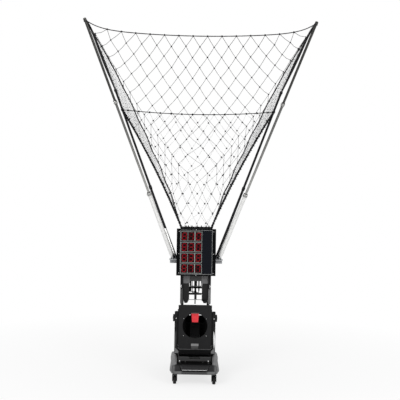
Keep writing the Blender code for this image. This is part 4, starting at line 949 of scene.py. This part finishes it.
def panel(name, spec, strips, twine_radii, lump, rope, stowed, swell=0.0):
    """One side of the net as upright strips of strands, knots and rim rope.

    The top rope is thicker by the share swell in its middle, where the net is gathered on it."""
    forms = [Form() for _ in range(strips)]

    def strip_of(place):
        x, t = place
        share = 0.5 + x / (2 * spec.half(min(1.0, max(0.0, t))))
        return forms[min(strips - 1, max(0, int(share * strips)))]

    def thick(t):
        return twine_radii[0] + (twine_radii[1] - twine_radii[0]) * min(1.0, max(0.0, t))

    for x, t, inside in spec.knots.values():
        if inside:
            knot(strip_of((x, t)), spec.at(x, t), Vector((1, 0, 0.3)), lump * (TOP_KNOT if t == 1 else 1.0))
    for start, end in spec.strands():
        middle = tuple((a + b) / 2 for a, b in zip(start, end))
        path = [spec.at(*start), spec.at(*middle) - UP * STRAND_SAG, spec.at(*end)]
        strip_of(start).tube(path, [thick(start[1]), thick(middle[1]), thick(end[1])])
    for k, form in enumerate(forms):
        s_low, s_high = k / strips, (k + 1) / strips
        gathered = rope * (1 + swell * math.sin(math.pi * (s_low + s_high) / 2) ** 2)
        for t, radius in ((1.0, gathered), (0.0, HOPPER_ROPE)):
            rim = [spec.surface(s_low + (s_high - s_low) * n / 4, t) for n in range(5)]
            length = (rim[-1] - rim[0]).length
            laid_rope(form, rim, radius, max(1, round(length / (radius * ROPE_LAY))))
        made = form.object(f"{name}_strip_{k:02d}", "net_cord", "machine", smooth=60)
        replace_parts(made, name)
        middle = (s_low + s_high) / 2
        fold_down(made, spec.surface(middle, 0.0), spec.surface(middle, 1.0), stowed(middle))


def fold_down(piece, base, top, stowed):
    """Gives the piece a mesh of its own, and doesn't flatten it: top and stowed are not used."""
    tuple(base)
    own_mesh(piece)


def seam(name, way, side, radius, stowed):
    """A thick rope up a corner of the net, with the turns that lash the panels to it."""
    points = [mirrored(way(n / SEAM_STEPS), side) for n in range(SEAM_STEPS + 1)]
    form = Form()
    length = sum((b - a).length for a, b in zip(points, points[1:]))
    laid_rope(form, points, radius, round(length / (radius * ROPE_LAY)))
    for a, b in zip(points, points[1:]):
        turns = max(1, round((b - a).length / SEAM_TURN))
        for n in range(turns):
            here = a.lerp(b, (n + 0.5) / turns)
            lean = (b - a).normalized() + Vector((0.25, 0.25, 0))
            form.ring(here, lean, radius * 1.05, LASHING, 12, 5)
            if n % 3 == 1:
                knot(form, here + (b - a).normalized().orthogonal() * radius, b - a, KNOT * 0.9)
    made = form.object(name, "net_cord", "machine", smooth=60)
    fold_down(made, points[0], points[-1], stowed)


def net():
    """Four panels, the seams of their corners, and the lashings to the poles."""
    front_stowed = Vector((TALL_FOOT.x, TALL_FOOT.y, TALL_STOWED_Z))
    rear_stowed = Vector((SHORT_FOOT.x, SHORT_FOOT.y, ROPE_STOWED_Z))
    short_stowed = Vector((SHORT_FOOT.x, SHORT_FOOT.y, SHORT_STOWED_Z))

    def slack(a, b, depth):
        return lambda s: a.lerp(b, s) - UP * depth * bow(s)

    front = Panel(front_surface, 14, 0.0475, 0.0001, 0.0640, 0.0155, 0.0540, 0.0600, 0.0035)
    rope_stowed = slack(mirrored(front_stowed, -1), front_stowed, 0.30)
    panel("net_front", front, 20, FRONT_TWINE, KNOT, FRONT_ROPE, rope_stowed)
    rear = Panel(rear_surface, 14, 0.0806, 0.0, 0.0660, 0.009, 0.090, 0.090, 0.003)
    rope_stowed = slack(mirrored(rear_stowed, -1), rear_stowed, 0.20)
    panel("net_rear", rear, 18, REAR_TWINE, REAR_KNOT, REAR_ROPE, rope_stowed)
    for side, hand in HANDS:
        near, far = mirrored(front_stowed, side), mirrored(short_stowed, side)
        spec = Panel(side_surface(side), 16, 0.05, 0.0, 0.0635, 0.021, 0.062, 0.070, 0.003)
        panel(f"net_{hand}", spec, 24, SIDE_TWINE, SIDE_KNOT, SIDE_ROPE, slack(near, far, 0.25), SIDE_SWELL)
        seam(f"seam_front_{hand}", front_seam, side, FRONT_SEAM, near)
        seam(f"seam_rear_{hand}", rear_seam, side, REAR_SEAM, mirrored(rear_stowed, side))
        lashings(side, hand)


def lashings(side, hand):
    """Turns of cord that tie the net's corners to the poles, riding on the poles' top sections.

    The folded front pole leaves 12 mm for them, between its cap and the middle section's collar."""
    rope_back, spacing = (1 - ROPE_SHARE) * SHORT_LENGTH, 0.0052
    places = (  # section, foot, tip, distances from the tip, radius, turns, cord, knot, looseness
        ("front_pole_upper", TALL_FOOT, TALL_TIP, (0.0262,), 0.0142, 2, 0.0026, 0.0052, 0.07),
        ("rear_pole_upper", SHORT_FOOT, SHORT_TIP, (0.040, rope_back), 0.0125, 5, 0.0028, 0.0085, 1.0),
    )
    for label, foot, tip, backs, radius, turns, cord, lump, loose in places:
        form = Form()
        along = pole_way(foot, tip, side)
        end = mirrored(tip, side)
        for back in backs:
            for n in range(turns):
                lean = along + Vector((0.12, 0.1, 0.0)) * loose * math.sin(2.1 * n)
                form.ring(end - along * (back + spacing * (n - (turns - 1) / 2)), lean, radius, cord, 20, 6)
            inner = end - along * back + Vector((-side, 0, 0)) * radius
            knot(form, inner, along, lump)
            tail = 0.045 * loose
            bend = Vector((-side * 0.006, 0.004, -0.5 * tail))
            form.tube([inner, inner + bend, inner - UP * tail - Vector((side * 0.004, 0, 0))], 0.0021)
        form.object(f"lashing_{label}_{hand}", "net_cord", f"{label}_{hand}", smooth=60)


# Scoreboard

SEGMENTS = {
    "a": ((-1, 2), (1, 2)), "b": ((1, 2), (1, 0)), "c": ((1, 0), (1, -2)), "d": ((-1, -2), (1, -2)),
    "e": ((-1, 0), (-1, -2)), "f": ((-1, 2), (-1, 0)), "g": ((-1, 0), (1, 0)),
}
DIGITS = {"0": "abcdef", "1": "bc", "3": "abcdg", "7": "abc", "8": "abcdefg"}


def segment(form, x, z, ends):
    """A bar with pointed ends, part of a leaning figure."""
    half_x, half_z, lean, half, gap = 0.0205, 0.0186, 0.08, 0.0055, 0.0012
    (x0, z0), (x1, z1) = ends
    a = Vector((x0 * half_x + z0 * half_z * lean, z0 * half_z))
    b = Vector((x1 * half_x + z1 * half_z * lean, z1 * half_z))
    along = (b - a).normalized()
    side = Vector((-along.y, along.x))
    a, b = a + along * gap, b - along * gap
    outline = [
        a, a + along * half + side * half, b - along * half + side * half, b, b - along * half - side * half,
        a + along * half - side * half,
    ]
    form.slab([tuple(p) for p in outline], -0.0002, 0.0009, front_at(x, CELL_FLOOR, z))


def window(form, x, z, half_x, half_z, wide):
    """Four strips round a window, standing on the scoreboard's face."""
    a, b = half_x + wide, half_z + wide
    strips = (
        (-a, half_z, a, b), (-a, -b, a, -half_z),
        (-a, -half_z, -half_x, half_z), (half_x, -half_z, a, half_z),
    )
    for x0, z0, x1, z1 in strips:
        form.slab([(x0, z0), (x1, z0), (x1, z1), (x0, z1)], -0.0003, 0.0008, front_at(x, FACE_FRONT, z))


def scoreboard():
    """The readings' lit and dull segments, the cells' frames, the face's trim and the case's screws."""
    lit_form, dull_form, frames = Form(), Form(), Form()
    for row, reading in enumerate(READINGS):
        z = CELL_ROW_TOP - row * CELL_ROW_STEP
        for x, digit in zip(CELL_COLUMNS, reading):
            for key, ends in SEGMENTS.items():
                segment(lit_form if key in DIGITS[digit] else dull_form, x, z, ends)
            window(frames, x, z, CELL_SIZE[0] / 2, CELL_SIZE[1] / 2, 0.0042)
    lit_form.object("digits_lit", "digit_red", "machine", bevel=0.0003)
    dull_form.object("digits_dull", "digit_dull", "machine")
    frames.object("cell_frames", "cell_grey", "machine", bevel=0.0004)
    trim = Form()
    window(trim, 0.0, (FACE_LOW + FACE_HIGH) / 2, FACE_X, (FACE_HIGH - FACE_LOW) / 2, 0.0030)
    trim.object("face_trim", "trim_grey", "machine", bevel=0.0004)
    spots = [(x, z) for x in (-0.187, 0.187) for z in (1.166, 1.377, 1.6206)] + [(0.0, 1.640), (0.0, 1.146)]
    screws("board_screws", "machine", [(x, 0.134, z, 0.0045) for x, z in spots], AHEAD)


# Head, mast and base fittings


def fittings():
    """Screws and bolts on the head's front and on the turntable's housing."""
    spots = ((-0.123, 0.671), (0.123, 0.671), (-0.124, 0.485), (0.124, 0.485))
    screws("plate_screws", "launch_head", [(x, 0.130, z, 0.0035) for x, z in spots], AHEAD)
    screws("cover_bolts", "launch_head", [(x, 0.136, 0.671, 0.006) for x in (-0.206, 0.206)], AHEAD, 0.003)
    spots = (
        (-0.163, 0.2105, 0.0085), (0.150, 0.2115, 0.0085), (-0.100, 0.2030, 0.0045), (0.090, 0.2035, 0.0045),
    )
    screws("housing_bolts", "machine", [(x, 0.110, z, radius) for x, z, radius in spots], AHEAD, 0.003)


def hood():
    """The head's top: a tray at shoulder height with a lipped inlet, its screws, and the vent's screen."""
    half, front, back, top, hole = 0.1815, 0.1345, 0.5590, 0.7560, 0.1330
    count = 48
    turns = [math.tau * (i + 0.5) / count for i in range(count)]
    rim = [(hole * math.sin(turn), AXIS_Y - hole * math.cos(turn)) for turn in turns]
    edge = []
    for x, y in rim:
        away = Vector((x, y - AXIS_Y))
        limit = (back if away.y > 0 else front) - AXIS_Y
        reach = min(half / abs(away.x) if away.x else 9.0, limit / away.y if away.y else 9.0)
        edge.append((away.x * reach, AXIS_Y + away.y * reach))
    loops = (  # outline, its share of full size, and its rise over the tray, or None on the sloping underside
        (edge, 1.0, 0.0), (rim, 1.0, 0.0), (rim, 0.985, 0.010), (rim, 0.965, 0.010), (rim, 0.965, -0.012),
        (rim, 1.0, -0.0025), (edge, 0.985, -0.0025), (edge, 0.985, None), (edge, 1.0, None),
    )
    verts, faces = [], []
    for outline, share, rise in loops:
        for x, y in outline:
            z = top - 0.0115 - slope(y) if rise is None else top + rise
            verts.append(Vector((x * share, AXIS_Y + (y - AXIS_Y) * share, z)))
    for row in range(len(loops)):
        for i in range(count):
            j, n = (i + 1) % count, (row + 1) % len(loops)
            faces.append((row * count + i, row * count + j, n * count + j, n * count + i))
    form = Form().add(verts, faces)
    for side in (-1, 1):
        form.box((side * 0.1785, front, top - 0.001), (side * 0.1812, front + 0.060, top + 0.010))
        post = (side * 0.150, front + 0.0005)
        form.tube([(*post, top), (*post, top + 0.046)], 0.004, 12)
    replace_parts(form.object("hood_tray", "dark_sheet", "launch_head", smooth=35), "head_hood")
    spots = [(x, y, top, 0.0042) for x in (-0.160, 0.160) for y in (0.20, 0.36, 0.53)]
    screws("hood_screws", "launch_head", spots, UP)
    near, far = 0.5560, 0.5575
    screen = Form().box((-0.116, near, 0.552), (0.116, far, 0.629))
    for low, high in ((-0.116, -0.064), (-0.052, 0.040), (0.086, 0.116)):
        screen.box((low, near, 0.6285), (high, far, 0.676))
    for k in range(12):
        x = -0.110 + 0.020 * k
        screen.tube([(x, 0.5555, 0.553), (x, 0.5555, 0.628)], 0.0012)
    screen.object("vent_screen", "deep_black", "launch_head", "dark_sheet", bevel=0.0003)


BUMPER = (  # the middle's profile from the bottom up, (y, z)
    (-0.040, 0.1172), (-0.060, 0.1172), (-0.072, 0.1172), (-0.080, 0.1188), (-0.0855, 0.1230),
    (-0.0878, 0.1290), (-0.0880, 0.1350), (-0.0872, 0.1420), (-0.0858, 0.1480), (-0.0840, 0.1515),
    (-0.0812, 0.1535), (-0.0805, 0.1560), (-0.0800, 0.1600), (-0.0765, 0.1680), (-0.0720, 0.1775),
    (-0.0668, 0.1875), (-0.0615, 0.1970), (-0.0560, 0.2040), (-0.0495, 0.2085), (-0.0430, 0.2108),
    (-0.0380, 0.2117),
)


def bumper():
    """The front cap's moulding: a rounded bar, a sloping face with an inset panel, and rounded ends."""
    half, back, level, rounded, columns = 0.2405, -0.0353, 0.160, 0.034, 120
    profile = [Vector((0, y, z)) for y, z in BUMPER]
    middle = Vector((0, back, level))
    verts, faces = [], []
    for i in range(columns + 1):
        x = -half + 2 * half * i / columns
        end = max(0.0, (abs(x) - (half - rounded)) / rounded)
        share = math.sqrt(max(0.0, 1 - (end * 0.97) ** 2.6))
        for point in profile:
            y = middle.y + (point.y - middle.y) * share
            here = Vector((x, y, middle.z + (point.z - middle.z) * (0.55 + 0.45 * share)))
            here.y += inset_depth(x, here.z) * share
            verts.append(here)
    count = len(profile)
    for i in range(columns):
        for k in range(count - 1):
            a, b = i * count + k, (i + 1) * count + k
            faces.append((a, b, b + 1, a + 1))
    base = len(verts)
    for i in range(columns + 1):
        low, high = verts[i * count], verts[i * count + count - 1]
        verts += [Vector((low.x, back, low.z)), Vector((high.x, back, high.z))]
    for i in range(columns):
        a, b = i * count, (i + 1) * count
        c, d = base + 2 * i, base + 2 * (i + 1)
        faces += [(a, c, d, b), (a + count - 1, b + count - 1, d + 1, c + 1), (c, c + 1, d + 1, d)]
    for i, order in ((0, 1), (columns, -1)):
        loop = [i * count + k for k in range(count)] + [base + 2 * i + 1, base + 2 * i]
        faces.append(tuple(loop[::order]))
    piece = Form().add(verts, faces).object("bumper", "bumper_moulding", "machine", smooth=50)
    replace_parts(piece, "front_cap")
    bends = [(0.158, 0.2065), (0.150, 0.186), (0.1415, 0.1625), (0.1335, 0.1535), (0.112, 0.1515)]
    way = [(-x, z) for x, z in bends] + [(x, z) for x, z in reversed(bends)]
    # painted shade: a near-black cord along the groove round the inset panel, the shade in that groove
    groove = Form().tube([(x, face_y(z) - 0.0003, z) for x, z in way], 0.0036, 8)
    groove.object("bumper_groove_shade", "deep_black", "machine", "black_moulding")
    # painted highlight: a light grey cord along the inset panel's lower edge, the highlight on its bevel
    way = [(x, -0.0800 + 0.0012 * abs(x) / 0.13, 0.1648) for x in (-0.130, -0.065, 0.0, 0.065, 0.130)]
    Form().tube(way, 0.0026, 8).object("bumper_highlight_line", "line_grey", "machine")


def between(rows, place):
    """What rows of (place, value), in rising order, come to at a place, by straight lines from row to row."""
    for (a0, b0), (a1, b1) in zip(rows, rows[1:]):
        if place <= a1:
            return b0 + (b1 - b0) * max(0.0, place - a0) / (a1 - a0)
    return rows[-1][1]


def face_y(z):
    """Where the bumper's face is at a height, over its flat underside."""
    return between([(height, y) for y, height in BUMPER[2:]], z)


def inset_depth(x, z):
    """How far the sloping panel is pressed in at a place, with a deeper groove round it."""
    side = 0.134 + (z - 0.156) * 0.45
    inner = min((side - abs(x)) / 0.004, (z - 0.1558) / 0.0035, (0.2035 - z) / 0.006)
    if inner <= 0:
        return 0.0
    return 0.0035 * min(1.0, inner) + 0.0045 * max(0.0, 1 - abs(inner - 1.3) / 1.1)


def trims():
    """The front plate's rolled lower edge and the flange's corners, in a lighter grey as painted highlight,
    thin ribs up the side covers' edges as painted reflections, dim on the left and bright on the right,
    plates on the mast, lighter on the right and darker on the left as painted light and shade, clips on the
    mast, and the net's ties on the hopper's rim."""
    low, high = PLATE_LOW, PLATE_LOW + CHAMFER
    right = [(PLATE_X - CHAMFER, low), (PLATE_X, high), (PLATE_X, high + 0.010)]
    path = [(-x, z) for x, z in reversed(right)] + [(0.0, low)] + right
    # painted highlight: the rolled lower edge is a lighter grey tube, the highlight along the plate's bottom
    edge = Form().tube([(x * 0.994, 0.1295, z + 0.001) for x, z in path], 0.0026, 8)
    edge.object("plate_edge", "edge_grey", "launch_head")
    corners, clips, ties = Form(), Form(), Form()
    # painted highlight: the flange's corners as lighter grey slabs, partly the corners' shape and partly
    # their highlight
    outline = ((0.2175, 0.357), (0.1765, 0.3145), (0.1780, 0.2925), (0.2175, 0.2925))
    for side, _ in HANDS:
        corners.slab([(side * x, z) for x, z in outline], 0.0, 0.0026, front_at(0, 0.1358, 0))
    corners.object("flange_corner_highlights", "mast_plate", "launch_head", bevel=0.0008)
    steps = range(13)
    radii = [0.0010 + 0.0078 * math.sin(math.pi * (n + 0.4) / 12.8) ** 0.8 for n in steps]
    # painted reflection: each rib is a thin streak up the side cover's rounded front edge, the backdrop
    # reflected; dim on the left, bright on the right
    for (side, hand), look in zip(HANDS, ("edge_dark", "edge_bright")):
        path = [(side * (0.2115 - 0.010 * (n / 12 - 0.30) ** 2), 0.1352, 0.350 + 0.0150 * n) for n in steps]
        Form().tube(path, radii, 10).object(f"cover_edge_reflection_{hand}", look, "launch_head", "axle_steel", 60)
    # painted light and shade: one plate in two tones, the right lighter as lit and the left darker as shaded
    for (side, hand), look in zip(HANDS, ("edge_dark", "mast_plate")):
        plate = Form().box((side * 0.1415, 0.1835, 0.822), (side * 0.1655, 0.1848, 0.985))
        plate.object(f"mast_plate_{hand}", look, "machine", bevel=0.0004)
        clips.box((side * 0.1540, 0.1815, 1.000), (side * 0.1610, 0.1848, 1.034))
        clips.box((side * 0.1560, 0.1790, 1.012), (side * 0.1680, 0.1820, 1.022))
    clips.object("mast_clips", "screw_zinc", "machine", bevel=0.0008)
    for x in TIE_X:
        foot = Vector((x, 0.2172, 1.6560))
        bend, end = Vector((0.003, -0.004, 0.012)), Vector((0.001, 0.001, 0.030))
        ties.tube([foot, foot + bend, foot + end], 0.0044, 8)
        knot(ties, foot + Vector((0.002, 0.0, 0.014)), UP, 0.0105)
    ties.object("net_ties", "net_cord", "machine", smooth=60)


def slope(y):
    """How far the head's sides drop behind the front plate, at shoulder height."""
    return 0.172 * max(0.0, y - 0.136)


def step_up(value, low, high):
    """A smooth step from 0 at low to 1 at high."""
    share = min(1.0, max(0.0, (value - low) / (high - low)))
    return share * share * (3 - 2 * share)


CREST = (  # the fairings' ridge from the front back, (y, z)
    (-0.035, 0.205), (-0.015, 0.226), (0.020, 0.243), (0.080, 0.256), (0.150, 0.264), (0.226, 0.265),
    (0.320, 0.258), (0.420, 0.238), (0.500, 0.208), (0.560, 0.182), (0.620, 0.166), (0.700, 0.161),
    (0.800, 0.157),
)


def reshaped(node, name, body, move, look, *cuts):
    """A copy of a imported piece, cut across at some planes and its vertices moved, that stands for it.

    Each of the cuts is an axis and the places of the planes across it."""
    mesh = frame["nodes"][node].data.copy()
    mesh.name = name
    bm = bmesh.new()
    bm.from_mesh(mesh)
    for axis, places in cuts:
        for place in places:
            point, normal = Vector((0, 0, 0)), Vector((0, 0, 0))
            point[axis], normal[axis] = place, 1.0
            whole = bm.verts[:] + bm.edges[:] + bm.faces[:]
            bmesh.ops.bisect_plane(bm, geom=whole, dist=1e-6, plane_co=point, plane_no=normal)
    for vertex in bm.verts:
        vertex.co = move(vertex.co.copy())
    bmesh.ops.triangulate(bm, faces=bm.faces[:])
    bm.to_mesh(mesh)
    bm.free()
    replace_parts(dress(name, mesh, look, body, smooth=35), node)


def fender(co):
    """Domed over the front wheels, tucked in below, and low behind."""
    across = min(1.0, max(0.0, (abs(co.x) - 0.190) / 0.083))
    if abs(co.x) > 0.1890:
        ahead = 1 - step_up(co.y, 0.36, 0.56)
        tuck = across ** 2 * ahead * (0.009 + 0.016 * (1 - step_up(co.z, 0.115, 0.200)))
        co.x -= math.copysign(tuck, co.x)
        base = 0.115 + (0.038 - 0.030 * step_up(across, 0.88, 0.99)) * step_up(co.y, 0.42, 0.56)
        if co.z > base:
            dome = 1 - (1 - math.sqrt(1 - 0.86 * across ** 2.2)) * (0.4 + 0.6 * ahead)
            co.z = base + (co.z - base) / (0.265 - base) * (between(CREST, co.y) - base) * dome
    elif abs(co.x) > 0.1870 and co.z > 0.2055:
        co.z = 0.205 + (co.z - 0.205) / 0.060 * max(0.002, between(CREST, co.y) - 0.205)
    return co


def sloped(co):
    """Falling away behind the front plate."""
    co.z -= slope(co.y) * step_up(co.z, 0.60, 0.740)
    return co


def notched(co):
    """Low enough beside the tray to stay under the head's sides."""
    if abs(co.x) > 0.1997:
        co.z = min(co.z, 0.6660)
    elif abs(co.x) > 0.1818:
        co.z = min(co.z, 0.7040)
    return co


def smaller(co):
    """The flap, smaller on all sides."""
    return Vector((co.x * 0.89, co.y, 0.6345 + (co.z - 0.626) * 0.848))


def lower(co):
    """The flap's hinge, smaller and lower."""
    return Vector((co.x * 0.90, co.y, 0.7225 + (co.z - 0.729) * 0.62))


def longer(co):
    """The outer plates' lower ends 20 mm farther down, with the wire between them left where it is."""
    if abs(co.x) > 0.070 and co.z < 0.900 and not 0.8655 < co.z < 0.8725:
        co.z -= 0.020
    return co


def reshape():
    """Domed fairings, head sides that fall away behind, a neater flap and hinge, and longer guard plates."""
    along = (
        -0.015, 0.020, 0.050, 0.080, 0.115, 0.150, 0.190, 0.226, 0.270,
        0.320, 0.370, 0.420, 0.470, 0.520, 0.560, 0.600, 0.680,
    )
    half = (0.1895, 0.200, 0.212, 0.224, 0.235, 0.245, 0.254, 0.262, 0.268)
    across = [side * x for side in (-1, 1) for x in half]
    levels = (0.135, 0.165, 0.195, 0.225)
    cuts = (1, along), (0, across), (2, levels)
    reshaped("base_cover", "fairings", "machine", fender, "fairing_moulding", *cuts)
    cuts = (2, (0.62, 0.64, 0.66, 0.68, 0.70, 0.72)), (1, (0.20, 0.27, 0.34, 0.41, 0.48))
    for _, hand in HANDS:
        reshaped(f"side_cover_{hand}", f"head_side_{hand}", "launch_head", sloped, "black_moulding", *cuts)
    reshaped("head_chassis", "head_sheet", "launch_head", sloped, "dark_frame", *cuts)
    steps = (-0.2005, -0.1990, -0.1825, -0.1810, 0.1810, 0.1825, 0.1990, 0.2005)
    cuts = (0, steps), (2, (0.666, 0.704))
    reshaped("head_back", "head_rear_plate", "launch_head", notched, "dark_sheet", *cuts)
    reshaped("outlet_flap", "flap_plate", "outlet_flap", smaller, "flap_red")
    reshaped("flap_hinge", "flap_mount", "launch_head", lower, "hinge_sheet")
    reshaped("lower_guard", "guard_plates", "machine", longer, "dark_sheet", (0, (-0.070, 0.070)))


def cage():
    """Dark bars between the guard's plates with a spacer, the line on the turntable's housing, the sides'
    louvres and screws, and the casters' cheeks."""
    bars = Form()
    for x0, z0, x1, z1 in (
        (-0.013, 0.878, 0.009, 1.100), (-0.060, 0.960, -0.046, 1.100), (0.029, 0.967, 0.044, 1.100),
        (-0.080, 0.958, -0.052, 1.005), (-0.074, 0.922, 0.066, 0.944), (-0.080, 0.955, -0.010, 0.963),
    ):
        bars.box((x0, 0.2003, z0), (x1, 0.2028, z1))
    bars.object("guard_bars", "deep_black", "machine", bevel=0.0005)
    rod = Form().tube([(-0.003, 0.1985, z) for z in (0.8225, 0.840, 0.858, 0.8735)], 0.0080, 14)
    rod.object("guard_spacer", "cell_grey", "machine", "axle_steel")
    low, high = 0.2505, 0.2575
    path = ((-0.166, high), (-0.084, high), (-0.074, low), (0.046, low), (0.056, high), (0.166, high))
    line = Form().tube([(x, 0.1093, z) for x, z in path], 0.0022, 8)
    line.object("housing_line", "edge_grey", "machine", "grey_moulding")
    axle_y = CASTER_Y + CASTER_TRAIL
    cheek = [
        (axle_y - 0.026, 0.034), (axle_y - 0.030, 0.062), (axle_y - 0.024, 0.084), (CASTER_Y - 0.022, 0.104),
        (CASTER_Y + 0.022, 0.104), (axle_y + 0.026, 0.080), (axle_y + 0.030, 0.056), (axle_y + 0.022, 0.030),
        (axle_y, 0.022),
    ]
    for side, hand in HANDS:
        louvres, face = Form(), 0.2228
        for row in range(7):
            z = 0.420 + 0.022 * row
            outline = [(face, z), (0.2262, z + 0.0010), (0.2270, z + 0.0045), (face, z + 0.0125)]
            louvres.slab([(side * x, height) for x, height in outline], -0.480, -0.300, front_at(0, 0, 0))
        outline = [(face, 0.596), (0.2246, 0.5968), (0.2246, 0.6002), (face, 0.601)]
        louvres.slab([(side * x, z) for x, z in outline], -0.545, -0.150, front_at(0, 0, 0))
        louvres.object(f"side_louvres_{hand}", "black_moulding", "launch_head", bevel=0.0006)
        spots = ((0.160, 0.320), (0.160, 0.560), (0.535, 0.320), (0.535, 0.560), (0.350, 0.320))
        spots = [(side * 0.2233, y, z, 0.0050) for y, z in spots]
        screws(f"side_screws_{hand}", "launch_head", spots, Vector((side, 0, 0)), metal="axle_steel")
        cheeks = Form()
        for way in (-1, 1):
            place = Vector((side * CASTER_X + way * 0.0212, 0, 0))
            cheeks.slab(cheek, 0.0, way * 0.0050, (place, Vector((0, 1, 0)), UP, Vector((1, 0, 0))))
        cheeks.object(f"caster_cheeks_{hand}", "deep_black", f"caster_fork_{hand}", bevel=0.0015, segments=2)


def main():
    camera()
    world()
    floor()
    softbox("key", (-3.2, -4.6, 5.2), (0.0, 0.0, 1.2), (2.6, 2.6), 210.0)
    softbox("fill", (3.8, -4.2, 3.2), (0.0, 0.0, 1.4), (2.4, 3.0), 130.0)
    bpy.context.scene.view_settings.view_transform = "Standard"
    finishes()
    scoreboard()
    fittings()
    hood()
    bumper()
    trims()
    reshape()
    cage()
    net()


main()
